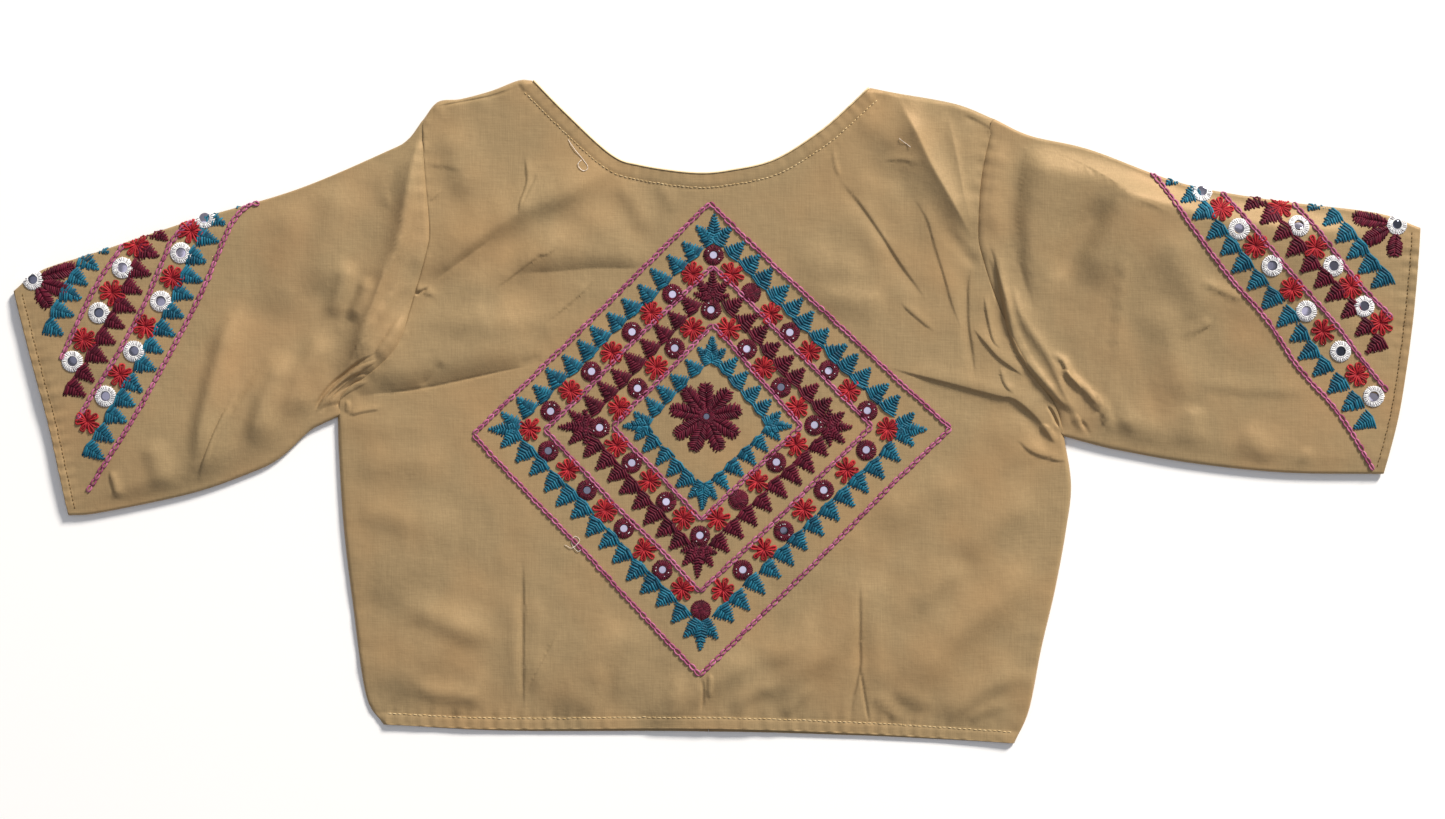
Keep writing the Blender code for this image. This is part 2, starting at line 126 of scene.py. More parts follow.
# A crease runs along a smooth curve through points. Its ridge, or its trough where height is
# negative, falls away over left on the left of its run and over right on its right. A low power
# makes a sharp edge of the line itself. With power 0 the line is the foot of a slope instead: the
# cloth rises from it on the left up to height, a left's width away, and stays flat on the right,
# where right is the share of that width and height that is left at the far end.
Crease = namedtuple("Crease", "points left right height power", defaults=(2.0,))

BACK_CREASES = [Crease(*row) for row in (
    # The long fold that leaves the left underarm: the cloth comes down to it from above.
    (((-226, 9), (-210, 10.7), (-203, 12), (-194, 12.5), (-183, 13.8), (-170, 16), (-157, 19),
      (-144, 21.7), (-131, 24.8), (-117, 27.4), (-100, 33)), 14, 1, 3.4, 0),
    (((-214, 10.4), (-194, 12.5), (-170, 16), (-144, 21.7), (-117, 27.4)), 0.8, 0.8, -0.35),
    (((-164, 31.5), (-171, 22), (-178, 15)), 4, 3.5, -0.9, 1.2),
    (((-119, 30), (-112, 31.6), (-105, 34)), 2.8, 2.8, -0.4),
    (((-222, 0.6), (-218, -0.3), (-211, 1.5), (-200, 3.0)), 3, 0.8, 0.7),
    (((-222.5, 8), (-221.5, 4), (-222.5, 0)), 1.8, 0.8, 0.5),
    (((-226, -4), (-202, -9), (-166, -7)), 10, 7, 0.7),
    # The folds that spread from the tuck in the left armhole.
    (((-176, 76), (-165, 86.5), (-154, 96), (-135, 111), (-115, 122), (-94, 130), (-72, 142),
      (-58, 148)), 15, 8.5, 4.2, 1.7),
    (((-172, 77), (-160, 86), (-146, 96), (-132, 106)), 3.5, 3, -0.9, 1.3),
    (((-166, 60), (-145, 75), (-122, 89), (-98, 102), (-80, 112)), 9, 11, 1.9),
    (((-181, 73), (-176, 74), (-171, 71.5), (-171, 68.5)), 3.2, 2.0, 0.7),
    (((-181.5, 71), (-177, 72.6), (-173, 75)), 1.0, 1.0, -1.2),
    (((-183, 58), (-166, 55), (-132, 55), (-105, 61)), 9, 8, 1.1),
    (((-158, 47), (-147, 56), (-136, 65)), 6, 5, 0.6),
    (((-124, 82), (-112, 84), (-100, 84.5), (-85, 86), (-70, 87), (-50, 87), (-36, 90)), 9, 1, 1.9,
      0),
    (((-133.5, 74.4), (-125, 81), (-116, 88), (-106, 95), (-101.8, 95.4), (-93.5, 100.6)), 3.5,
      1.0, 0.45),
    (((-101.8, 55), (-92, 63.4), (-82.5, 71.6), (-73, 81)), 4.5, 1.0, 0.5),
    (((-130, 50), (-112, 53), (-94, 49)), 8, 8, 0.9),
    # The seam and the soft folds below the left shoulder.
    (((-170, 183.5), (-154, 186.4), (-134, 190.4), (-117, 196)), 0.8, 0.8, -0.6),
    (((-114.5, 154), (-113, 139), (-117, 125.5), (-118, 118)), 4, 0.9, 0.8),
    (((-107.5, 144), (-113, 132), (-116.5, 124)), 1.0, 3.0, -0.5),
    (((-166, 170), (-154, 152), (-148, 128)), 12, 10, 1.7),
    (((-172, 127), (-169, 130), (-165, 134)), 0.8, 0.8, 0.3),
    (((-173, 149), (-163, 148.6), (-152, 146)), 3.2, 1.4, 0.3),
    (((-60, 140), (-53, 130), (-46, 117), (-42, 106)), 7, 4.5, 1.2),
    (((-88, 124), (-72, 115), (-58, 108)), 9, 9, 0.9),
    (((-37, 138), (-30, 130), (-26, 121)), 4, 2.8, 0.7),
    # The sharp creases below the right shoulder.
    (((73, 141), (79, 133), (86, 124.5), (97.5, 108), (110.5, 88), (121, 74), (125, 68)), 0.9, 5.0,
      -0.85),
    (((70, 158), (71, 150), (74, 141)), 1.4, 1.0, 0.35),
    (((80, 128), (92, 110), (104, 92)), 9, 9, 0.9),
    (((118, 130), (122.8, 123.2), (127.7, 114.7), (132, 100), (137, 84), (142, 66), (147.7, 48.7)),
      6, 1.1, 0.6),
    (((100, 151.6), (109, 152.2), (115, 151.4), (122, 149)), 3.2, 0.8, 0.4),
    (((152.6, 88), (150.6, 76), (150.4, 66), (150.9, 52), (154, 31), (155, 22)), 0.9, 4.0, -1.0),
    (((108, 191), (113, 180), (120, 167), (129, 148), (141, 127), (154, 104)), 9, 11, 4.6, 1.15),
    (((84, 178), (97, 170), (108, 158)), 9, 8, 1.2),
    (((88, 150), (103, 142), (118, 137)), 7, 6, -0.7),
    (((138, 180), (141, 168), (145, 149), (148, 133), (152, 114)), 2.7, 5, 1.0, 1.2),
    (((153, 172), (152, 152), (154, 130)), 5, 5, 0.6),
    (((148, 179), (157, 174.5), (165.6, 170)), 0.8, 2.8, -0.7),
    (((165.4, 169.5), (168.2, 177)), 0.8, 0.8, -0.8),
    (((137.5, 111), (144.3, 102.4), (151, 94), (157, 86)), 2.6, 4, -0.8),
    (((154, 51), (161, 43), (169, 34), (177, 28), (184, 22.5)), 5, 0.9, 1.0),
    (((160.7, 70.4), (163.6, 55), (166.5, 43.6), (170.3, 38.8)), 3, 0.9, 0.8),
    (((170.3, 27.4), (173, 18), (178, 12)), 3, 0.9, 0.7),
    (((110, 67), (119, 59), (131, 49)), 3.5, 0.9, 0.5),
    (((62, 78), (70, 71), (85, 68.5), (102, 68)), 5, 10, 1.7),
    (((44, 98), (68, 86), (92, 82)), 12, 12, 1.3),
    # The long fold that leaves the right underarm: it lies over the cloth below.
    (((104, 28), (108, 26.2), (121, 23), (137, 19), (155, 14.2), (171, 10.1), (177.4, 9.4),
      (185.5, 3.7), (195, -5.9), (201.5, -15.6)), 8, 0.9, 1.25),
    (((116, 16), (142, 10), (168, 3), (182, -6)), 6, 9, -1.1),
    (((174, 7), (186, -3), (195, -14), (199, -24)), 3, 4, -1.1),
    (((193.5, -7), (199, -12), (203, -18)), 2.5, 0.9, 0.8),
    (((180.6, -15.6), (190, -22.8), (201.5, -26.8), (211, -29)), 5, 1.2, 0.8),
    (((198, 5), (201.4, 0), (205.5, -9)), 0.9, 0.9, -1.5),
    (((161, -4), (176, -16), (188, -33)), 10, 8, 0.7),
    # The two waist darts, drawn in by their seams.
    (((-116, -86), (-116, -124), (-116, -169), (-115, -182)), 0.8, 2.8, -0.8),
    (((-122, -110), (-121, -172)), 5, 4, 0.7),
    (((-109, -100), (-108, -172)), 4, 8, 0.6),
    (((86, -100), (86, -136), (86, -152), (82, -172), (81, -185)), 0.8, 2.8, -0.9),
    (((86, -153), (89, -172), (92, -189)), 0.9, 0.9, -0.9),
    (((93, -112), (97, -166)), 6, 4, 0.8),
    # Creases of the lower back.
    (((-94, -131), (-103, -149), (-113, -168)), 5, 1.2, 0.6),
    (((-46, -124), (-55, -152), (-64, -176)), 7, 2.8, 0.9),
    (((-9, -158), (-8, -168), (-9, -180)), 1.0, 1.0, -0.8),
    (((-4, -155), (-4, -172)), 1.4, 1.4, 0.6),
    (((94, -169), (102, -176), (111, -185)), 4, 2.8, 1.1),
    (((106, -165), (116, -172), (130, -176)), 6, 3, 1.2),
    (((32, -175), (50, -153), (73, -136), (100, -92)), 14, 10, 2.6),
    (((110, -176), (140, -136), (170, -112), (190, -83)), 13, 10, 3.0),
    (((-94, -185), (-76, -154), (-53, -125)), 12, 9, 2.3),
    (((-46, -187), (-15, -169), (27, -143)), 12, 8, 2.2),
    (((-200, -172), (-168, -141), (-141, -112)), 13, 10, 2.3),
    (((-209, -112), (-184, -88), (-162, -52)), 15, 12, 2.0),
    (((-186, -161), (-170, -168), (-150, -170), (-138, -176)), 6, 4, 1.6),
    (((134, -185), (161, -166), (183, -155)), 9, 6, 2.0),
    (((146, -88), (170, -64), (194, -52)), 12, 10, 1.8),
    (((92, -64), (122, -52), (146, -34)), 12, 12, 1.5),
    (((-219, -34), (-190, -29), (-159, -34)), 12, 10, 1.2),
    (((38, -182), (50, -172), (57, -163)), 5, 3, 1.1),
    (((-160, -182), (-146, -168), (-139, -152)), 5, 4, 1.1),
    (((-190, -120), (-172, -122), (-150, -132), (-132, -134)), 8, 6, 1.5),
    (((-80, -182), (-72, -166), (-70, -150)), 6, 4, 1.1),
    (((8, -180), (22, -168), (40, -164)), 6, 4, 1.3),
    (((24, -150), (46, -140), (60, -122)), 8, 6, 1.3),
    (((-30, -176), (-24, -166), (-24, -156)), 4, 3, 0.9),
    (((120, -120), (132, -104), (150, -92)), 8, 7, 1.4),
    (((150, -186), (162, -178), (176, -176)), 4, 3, 1.0),
    (((-216, -60), (-198, -62), (-180, -70)), 9, 7, 1.2),
)]
SLEEVE_LEFT_CREASES = [Crease(*row) for row in (
    # The sharp ridge beside the armhole, its far side in shade.
    (((-180, 174), (-180, 161), (-182, 150), (-184.5, 134), (-186.5, 121), (-189, 107),
      (-192.5, 96), (-198, 85), (-203, 72), (-208, 56), (-214, 41), (-221, 28), (-229, 18)), 10, 7,
      4.8, 1.15),
    (((-190, 79), (-198, 64), (-206, 53), (-213, 43)), 3.5, 1.2, 0.9),
    (((-201, 61), (-207, 50), (-212, 42)), 1.6, 2, -0.8),
    # Pleats at the underarm.
    (((-203, 36), (-214, 30), (-222, 24), (-230, 17.6), (-236.5, 9.8), (-241, 2), (-246, -6)), 1.1,
      1.1, -1.2),
    (((-203, 31.5), (-213, 27), (-222, 20.5), (-230, 13.5), (-236, 6), (-241, -3)), 1.8, 1.4, 1.1),
    (((-206, 25), (-217, 22), (-226, 16), (-233.5, 9), (-239, 1)), 0.9, 0.9, -1.1),
    (((-209, 19), (-218, 16), (-228, 9), (-235, 0)), 1.8, 1.4, 0.8),
    (((-188, 58), (-195, 45), (-204, 33)), 4, 2.5, 1.0),
    # Soft folds across the sleeve.
    (((-200, 142), (-200, 133), (-198, 122)), 3, 1.2, 0.6),
    (((-221, 92), (-225, 74), (-232, 56)), 6, 4.5, 2.0),
    (((-208, 82), (-213, 68), (-220, 55)), 5, 4, 1.8),
    (((-284, 67), (-294, 46), (-302, 17), (-308, -7), (-312, -37)), 9, 5, 3.0),
    (((-256, 38), (-268, 14), (-279, -21)), 9, 6, 2.8),
    (((-265, 37), (-275, 20), (-286, 2), (-297, -20), (-304, -37)), 5, 2.4, 1.2),
    (((-288, 11), (-298, -10), (-309, -38), (-312, -45)), 4, 1.6, 1.1),
    (((-232, 50), (-247, 25), (-258, -4)), 10, 7, 2.6),
    (((-223, 140), (-232, 104), (-238, 68)), 14, 12, 2.2),
    (((-250, 128), (-256, 92), (-264, 56)), 14, 12, 1.6),
    (((-363, -34), (-360, -44), (-358, -52)), 3, 1.6, 0.8),
    (((-340, -16), (-334, -34), (-332, -47)), 8, 6, 1.4),
    (((-394, 44), (-399, 25), (-394, 2)), 8, 8, 0.5),
    (((-232, -2), (-300, -28), (-382, -48)), 18, 60, 1.4),
)]
SLEEVE_RIGHT_CREASES = [Crease(*row) for row in (
    # The narrow ridges that run down beside the armhole.
    (((164.5, 102), (168.4, 91.4), (171.2, 78), (175, 63), (178, 48.4), (181.7, 38), (187.5, 29.3),
      (194.2, 21.6), (200, 15), (205.7, 8.2), (213.3, 1.6), (219, -5.2)), 3.4, 2.0, 1.9, 1.5),
    (((163, 94), (166, 84), (169, 72), (173, 58)), 2.0, 2.2, -0.7),
    (((176, 84), (181, 62), (186.5, 51), (193, 42), (199, 33), (203, 24.5), (206.6, 15),
      (211.4, 6), (217, -2)), 5, 3.2, 1.7, 1.2),
    (((172, 164), (168, 146), (165, 125), (166, 106)), 5, 6, 1.1),
    # The broad fold off the shoulder: a sharp groove, its shaded side, then the crown.
    (((190, 180), (186, 164), (181.5, 144), (178.5, 122), (179, 106), (181.5, 90), (186, 74),
      (192, 58)), 21, 0.12, 5.2, 0),
    (((189, 172), (186, 164), (181.5, 144), (178.5, 122), (179, 106)), 0.8, 0.8, -0.4),
    (((232, 130), (222, 110), (210, 90), (200, 80)), 7, 7, -1.8),
    (((250, 142), (242, 122), (232, 100), (220, 76)), 14, 9, 2.6),
    (((187, 160), (197, 156), (210, 152), (224, 145), (237, 137), (247, 129), (261, 124),
      (274, 117)), 4, 0.8, 0.6),
    (((186, 160), (197, 156.5), (210, 152.5), (224, 145.5), (237, 137.5), (252, 128)), 0.9, 0.9,
      -0.7),
    (((244, 104), (241, 74), (239, 48), (237, 21)), 4, 0.9, 0.7),
    # Pleats at the underarm.
    (((199, 36), (207.6, 31.2), (211.4, 23.5), (219, 16), (225, 9.2), (231.5, 2.5), (234.4, -6),
      (236.3, -16)), 2.6, 1.5, 1.5),
    (((206, 27), (212, 20), (219, 11)), 2, 1.0, 0.8),
    (((218, -4), (222, -10), (224, -15)), 1.2, 1.2, -1.2),
    (((213, 0), (217, -7), (219, -13)), 2, 1.2, 0.9),
    (((241, 1), (252, -10), (264, -20)), 8, 6, 1.0),
    # Soft folds across the sleeve.
    (((288, 79), (302, 73), (316, 67)), 4, 1.4, 0.7),
    (((278, 46), (289, 51), (297, 56)), 4, 2, 0.6),
    (((285, 19), (316, 14), (358, 13)), 7, 2.8, 0.6),
    (((356, -22), (352, -28), (350, -35)), 3, 3, 0.8),
    (((260, 68), (272, 38), (276, 2)), 13, 10, 1.5),
    (((266, 110), (278, 86), (296, 50)), 12, 11, 1.7),
    (((285, 5), (284, -7), (282, -20)), 7, 7, 1.3),
    (((314, -10), (326, -22), (333, -31)), 8, 7, 1.2),
    (((344, 104), (368, 68), (386, 38)), 14, 14, 0.5),
    (((215, 150), (300, 122), (392, 104)), 18, 62, 4.6),
)]
CREASES = BACK_CREASES + SLEEVE_LEFT_CREASES + SLEEVE_RIGHT_CREASES

# The pink outlines of the back's three diamonds, and the two tracks of mirrors and rosettes
# between them: corners (x, y) at the top, right, bottom and left.
DIAMONDS = [
    [(-4, 126), (140.5, -9), (-10, -157), (-146, -13)],
    [(-2, 88), (93, -8), (-10, -107), (-103, -10)],
    [(-2, 53), (51, -8), (-9, -64), (-62, -8)],
]
TRACKS = [
    [(-2, 95), (102, -10), (-9, -118), (-112, -10)],
    [(-3, 62), (59, -8), (-10, -74), (-70, -8)],
]
CENTRE = (-6, -2)

# Each sleeve's pink lines, then its mirrors and rosettes, from the top fold to the cuff.
SLEEVE_LINES = {
    -1: [
        [(-275, 129), (-288, 118), (-296, 102), (-312, 65), (-336, 20), (-352, -8), (-377, -47)],
        [(-315, 115), (-327, 102), (-342, 67), (-359, 35), (-383, -4)],
        [(-356, 101), (-374, 72), (-393, 32)],
    ],
    1: [
        [(261, 145), (288, 106), (308, 80), (330, 55), (348, 28), (372, 1), (394, -34)],
        [(303, 133), (319, 113), (334, 95), (352, 74), (372, 52), (387, 32), (402, 13)],
        [(346, 126), (363, 105), (383, 80), (405, 57)],
    ],
}
SLEEVE_MIRRORS = {
    -1: [(-307, 117), (-321, 96), (-333, 67), (-349, 37), (-366, 10),
         (-356, 87), (-370, 60), (-386, 31)],
    1: [(291, 133), (312, 110), (332, 88), (353, 61), (374, 37), (394, 10),
        (348, 112), (369, 88), (388, 64)],
}
SLEEVE_ROSETTES = {
    -1: [(-315, 109), (-326, 81), (-342, 52), (-357, 23), (-377, -5),
         (-348, 101), (-362, 72), (-379, 44)],
    1: [(302, 122), (322, 100), (344, 74), (363, 49), (384, 23),
        (338, 124), (358, 99), (380, 76), (398, 54)],
}
CUFF_MIRROR = {-1: (-410, 80), 1: (408, 113)}

# The petals beside a cuff's mirror: direction in degrees, and length.
CUFF_PETALS = {-1: [(17, 27.5), (-18, 23.5), (-59, 20)], 1: [(170, 27.5), (208, 23), (264, 20)]}

# The triangles along each pink line of a sleeve: how many, where the first and last stand as
# shares of the line, and the gap between their points and the line.
SLEEVE_TRIANGLES = {
    -1: [(15, 0.063, 0.892, 3.0), (11, 0.034, 0.893, 3.6), (6, 0.108, 0.804, 4.9)],
    1: [(15, 0.053, 0.88, 3.6), (11, 0.028, 0.83, 4.8), (6, 0.095, 0.777, 5.0)],
}


def smooth_path(points):
    """A function from shares 0 to 1 of the length to points on the smooth curve through points."""
    through = np.array(points, float)
    ends = np.vstack([2 * through[0] - through[1], through, 2 * through[-1] - through[-2]])
    dense = []
    for before, start, end, after in zip(ends, ends[1:], ends[2:], ends[3:]):
        t = np.linspace(0, 1, 24, endpoint=False)[:, None]
        pull_out = (end - before) / 2
        pull_in = (after - start) / 2
        dense.append(
            (2 * t**3 - 3 * t**2 + 1) * start
            + (t**3 - 2 * t**2 + t) * pull_out
            + (3 * t**2 - 2 * t**3) * end
            + (t**3 - t**2) * pull_in
        )
    dense = np.vstack(dense + [through[-1:]])
    run = np.concatenate([[0], np.cumsum(np.linalg.norm(np.diff(dense, axis=0), axis=1))])

    def at(share):
        wanted = np.asarray(share, float) * run[-1]
        return np.stack([np.interp(wanted, run, dense[:, k]) for k in (0, 1)], axis=-1)

    at.length = run[-1]
    return at


def in_turn(paths, shares):
    """One path from several that meet end to end. shares are where, from 0 to 1, each one ends."""
    starts = [0.0, *shares[:-1]]

    def at(share):
        share = np.asarray(share, float)
        point = paths[0](np.clip((share - starts[0]) / (shares[0] - starts[0]), 0, 1))
        for path, start, end in zip(paths[1:], starts[1:], shares[1:]):
            own = path(np.clip((share - start) / (end - start), 0, 1))
            point = np.where((share > start)[..., None], own, point)
        return point

    return at


def backwards(path):
    return lambda share: path(1 - np.asarray(share, float))


def leftward(path, share):
    """The unit vector to the left of a path at each share of it."""
    share = np.asarray(share, float)
    along = path(np.minimum(share + 0.01, 1)) - path(np.maximum(share - 0.01, 0))
    along = along / np.linalg.norm(along, axis=-1, keepdims=True)
    return np.stack([-along[..., 1], along[..., 0]], axis=-1)


def scooped(path, depth, side):
    """The path bowed towards side * X by depth at its middle, with its ends kept."""

    def at(share):
        share = np.asarray(share, float)
        point = path(share)
        point[..., 0] += side * depth * np.sin(math.pi * share)
        return point

    return at


def patch(low, high, left, right, u, v):
    """The Coons patch between four edges, at the shares u across and v up."""
    across, up = u[..., None], v[..., None]
    corners = (
        (1 - across) * (1 - up) * low(0.0)
        + across * (1 - up) * low(1.0)
        + (1 - across) * up * high(0.0)
        + across * up * high(1.0)
    )
    between_rows = (1 - up) * low(u) + up * high(u)
    between_columns = (1 - across) * left(v) + across * right(v)
    return between_rows + between_columns - corners


def smooth_step(value):
    value = np.clip(value, 0, 1)
    return value * value * (3 - 2 * value)


def fade(distance, start, stretch):
    """1 up to start, then falling to 0 over a stretch."""
    return 1 - smooth_step((distance - start) / stretch)


def groove(distance, middle, width):
    """The round section, 1 deep, of a groove with its middle at that distance from an edge."""
    return np.exp(-(((distance - middle) / width) ** 2))


def within(line, flat, reach):
    """Which of the flat points are within reach of the box round a line of points."""
    return ((flat > line.min(axis=0) - reach) & (flat < line.max(axis=0) + reach)).all(axis=1)


def nearest_on(line, flat):
    """For flat points, their distance from a line of points, the number of the nearest stretch,
    the share of it where they are nearest, and the side they are on: 1 left and -1 right."""
    gap, side = np.full(len(flat), FAR), np.ones(len(flat))
    number, share = np.zeros(len(flat), int), np.zeros(len(flat))
    for index, (start, end) in enumerate(zip(line, line[1:])):
        step = end - start
        size = np.linalg.norm(step)
        if size < 1e-9:
            continue
        offset = flat - start
        t = np.clip(offset @ step / size**2, 0, 1)
        own = np.linalg.norm(offset - t[:, None] * step, axis=1)
        closer = own < gap
        gap[closer], number[closer], share[closer] = own[closer], index, t[closer]
        turn = step[0] * offset[closer, 1] - step[1] * offset[closer, 0]
        side[closer] = np.where(turn >= 0, 1.0, -1.0)
    return gap, number, share, side


class NearPath:
    """For points, their distance from a path, the length along it and the side they are on."""

    def __init__(self, path, xy, reach=40.0):
        flat = xy.reshape(-1, 2)
        line = path(np.linspace(0, 1, 320))
        length = np.linalg.norm(np.diff(line, axis=0), axis=1)
        run = np.concatenate([[0], np.cumsum(length)])
        distance, along, side = np.full(len(flat), FAR), np.zeros(len(flat)), np.ones(len(flat))
        close = within(line, flat, reach)
        distance[close], number, share, side[close] = nearest_on(line, flat[close])
        along[close] = run[number] + share * length[number]
        self.distance, self.along, self.side = (
            values.reshape(xy.shape[:-1]) for values in (distance, along, side)
        )
        self.length = run[-1]


def crease_lift(xy, creases):
    """How far the creases lift the cloth at each point, and how near it is to a sharp one."""
    flat = xy.reshape(-1, 2)
    lift = np.zeros(len(flat))
    nearest = np.full(len(flat), FAR)
    for crease in creases:
        line = smooth_path(crease.points)(np.linspace(0, 1, 28))
        close = within(line, flat, max(4.2 * max(crease.left, crease.right), 8))
        if not close.any():
            continue
        gap, number, share, side = nearest_on(line, flat[close])
        share = (number + share) / (len(line) - 1)
        stops = smooth_step((1 - share) / 0.3 + 0.1)
        ends = smooth_step(share / 0.3 + 0.1) * stops
        if crease.power == 0:
            size = 1 + (crease.right - 1) * share
            away = gap / (crease.left * size)
            slope = np.sin(math.pi / 2 * np.minimum(away, 1)) * fade(away, 1, 3.2)
            ends = ends if crease.right == 1 else stops
            lift[close] += crease.height * size * slope * ends * (side > 0)
            nearest[close] = np.minimum(nearest[close], gap)
            continue
        width = np.where(side > 0, crease.left, crease.right)
        sharp = width < SHARP_WIDTH
        width = width * np.where(sharp, 0.4 + 0.6 * ends, 1.0)
        soft = np.exp(-((gap / width) ** crease.power))
        if crease.height > 0:
            crisp = np.sqrt(1 - np.clip(gap / (1.25 * width), 0, 1) ** 2)
        else:
            crisp = (1 - np.clip(gap / (1.7 * width), 0, 1)) ** 1.5
        lift[close] += crease.height * np.where(sharp, crisp, soft) * ends
        if min(crease.left, crease.right) < SHARP_WIDTH or crease.power < 1.6:
            nearest[close] = np.minimum(nearest[close], gap)
    return lift.reshape(xy.shape[:-1]), nearest.reshape(xy.shape[:-1])


def cell_levels(xy, edges):
    """How finely each cell of cloth is cut: most beside a sharp crease, less a little further
    off, and level within reach of the paths in edges."""
    nearest = crease_lift(xy, CREASES)[1]
    levels = np.where(nearest < FINEST_REACH, 2, np.where(nearest < FINER_REACH, 1, 0))
    for path, reach, level in edges:
        levels = np.maximum(levels, level * (NearPath(path, xy).distance < reach))
    return levels


def closer_grid(levels, closed=False):
    """Triangles over an array of cells, each cut 2 x 2 where its level is 1 and 4 x 4 where it
    is 2, and each point's row and column, counted in cells. The last column meets the first
    where closed."""
    rows, columns = levels.shape
    used = np.zeros((4 * rows + 1, 4 * columns + 1), bool)
    leaves = []
    for level, size in ((0, 4), (1, 2), (2, 1)):
        part = np.stack(np.meshgrid(np.arange(0, 4, size), np.arange(0, 4, size), indexing="ij"), axis=-1)
        corner = (4 * np.argwhere(levels == level)[:, None] + part.reshape(1, -1, 2)).reshape(-1, 2)
        leaves.append((size, corner[:, 0], corner[:, 1]))
        for down in (0, size):
            for across in (0, size):
                used[corner[:, 0] + down, corner[:, 1] + across] = True
    kept = used.copy()
    if closed:
        kept[:, -1] = False
    number = np.cumsum(kept.ravel()).reshape(kept.shape) - 1
    if closed:
        number[:, -1] = number[:, 0]
    places = list(np.argwhere(kept).astype(float))
    triangles = []
    for size, i, j in leaves:
        rim = [(0, k) for k in range(size)] + [(k, size) for k in range(size)]
        rim += [(size, size - k) for k in range(size)] + [(size - k, 0) for k in range(size)]
        split = np.zeros(len(i), bool)
        for down, across in rim:
            if down % size or across % size:
                split |= used[i + down, j + across]
        low, right = number[i, j], number[i, j + size]
        across, up = number[i + size, j + size], number[i + size, j]
        triangles.append(np.stack([low, right, across], axis=1)[~split])
        triangles.append(np.stack([low, across, up], axis=1)[~split])
        fans = []
        for a, b in zip(i[split], j[split]):
            around = [number[a + down, b + side] for down, side in rim if used[a + down, b + side]]
            middle = len(places)
            places.append(np.array([a + size / 2, b + size / 2]))
            fans += [(middle, here, after) for here, after in zip(around, around[1:] + around[:1])]
        triangles.append(np.array(fans, int).reshape(-1, 3))
    places = np.array(places) / 4
    return places[:, 0], places[:, 1], np.vstack(triangles)


def soft_waves(xy, height):
    """Low, wide undulations of cloth that isn't pressed."""
    x, y = xy[..., 0], xy[..., 1]
    return height * (
        0.5 * np.sin(x / 31 + 0.9 * np.sin(y / 47 + 0.4))
        + 0.4 * np.sin((x + 1.3 * y) / 43 + 1.7 + np.sin(x / 61))
        + 0.35 * np.sin((0.8 * x - y) / 27 + 0.6 + 1.2 * np.sin(y / 53))
        + 0.16 * np.sin((1.2 * x + 0.5 * y) / 11 + 2.1 * np.sin(y / 29))
    )


def crumple(xy, height):
    """Short shallow waves in patches, as cotton silk keeps after wearing."""
    x, y = xy[..., 0], xy[..., 1]
    bend = 2.1 * np.sin(y / 31 + 0.6) + 1.6 * np.sin(x / 43 + 1.2 * np.sin(y / 57))
    patchy = 0.55 + 0.45 * np.sin(x / 37 + 1.5 * np.sin(y / 29 + 0.7))
    other = 0.55 + 0.45 * np.sin(y / 33 + 1.7 * np.sin(x / 41 + 2.0))
    return height * (
        patchy * np.sin((0.85 * x - 0.55 * y) / 3.7 + bend)
        + other * np.sin((0.5 * x + 0.9 * y) / 4.6 - bend + 1.1)
        + 0.8 * patchy * other * np.sin((x + 0.2 * y) / 2.4 + 1.3 * bend)
    )


def settled(lift):
    """The lift with its troughs held above the cloth below them."""
    deepest = 1.6
    return np.where(lift < 0, -deepest * np.tanh(-lift / deepest), lift)


def pucker(near, inner, outer, wave, height, phase=0.0):
    """Small ripples across a line of sewing, from inner before it to outer behind it."""
    s = near.along
    ripple = (
        np.sin(2 * math.pi * s / wave + 1.1 * np.sin(s / 17 + phase) + phase)
        + 0.6 * np.sin(2 * math.pi * s / (wave * 1.63) + 1.9 + 1.4 * np.sin(s / 23))
    )
    strength = 0.6 + 0.4 * np.sin(s / 37 + phase)
    gap = near.distance
    reach = smooth_step((gap + 0.01) / max(inner, 0.01)) * np.exp(-((gap / outer) ** 2))
    return height * ripple * strength * reach


def rounded(distance, radius):
    """From 0 at an edge to 1 at radius from it, on a quarter circle."""
    return np.sqrt(1 - (1 - np.clip(distance / radius, 0, 1)) ** 2)


def steps(*stretches):
    """Shares from 0 to 1 out of (end, count) stretches, each one evenly divided."""
    shares, start = [0.0], 0.0
    for end, count in stretches:
        shares += list(np.linspace(start, end, count + 1)[1:])
        start = end
    return np.array(shares)


def finer_ends(shares, first, last):
    """The shares with three more close to each end, where cloth bends at a seam."""
    more = [0.2 * first, 0.45 * first, 0.72 * first, 1 - 0.72 * last, 1 - 0.45 * last, 1 - 0.2 * last]
    return np.array(sorted(set(np.round(shares, 7)) | set(np.round(more, 7))))


def mesh_piece(name, points, faces, material, tones=None):
    """A mesh object from points in millimetres, riding on the blouse. tones gives each point a
    number from 0 to 1, which its material reads as the shade of its own strand or disc."""
    mesh = bpy.data.meshes.new(name)
    points = ((np.asarray(points) - MIDDLE) * MM).astype(np.float32)
    faces = np.asarray(faces, np.int32)
    corners = faces.shape[1]
    mesh.vertices.add(len(points))
    mesh.vertices.foreach_set("co", points.ravel())
    mesh.loops.add(faces.size)
    mesh.loops.foreach_set("vertex_index", faces.ravel())
    mesh.polygons.add(len(faces))
    mesh.polygons.foreach_set("loop_start", np.arange(0, faces.size, corners, dtype=np.int32))
    mesh.polygons.foreach_set("use_smooth", np.full(len(faces), True))
    mesh.materials.append(material)
    if tones is not None:
        mesh.attributes.new("tone", "FLOAT", "POINT").data.foreach_set("value", np.asarray(tones, np.float32))
    mesh.update(calc_edges=True)
    mesh.validate()
    piece = bpy.data.objects.new(name, mesh)
    bpy.context.scene.collection.objects.link(piece)
    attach(piece, "root")
    return piece


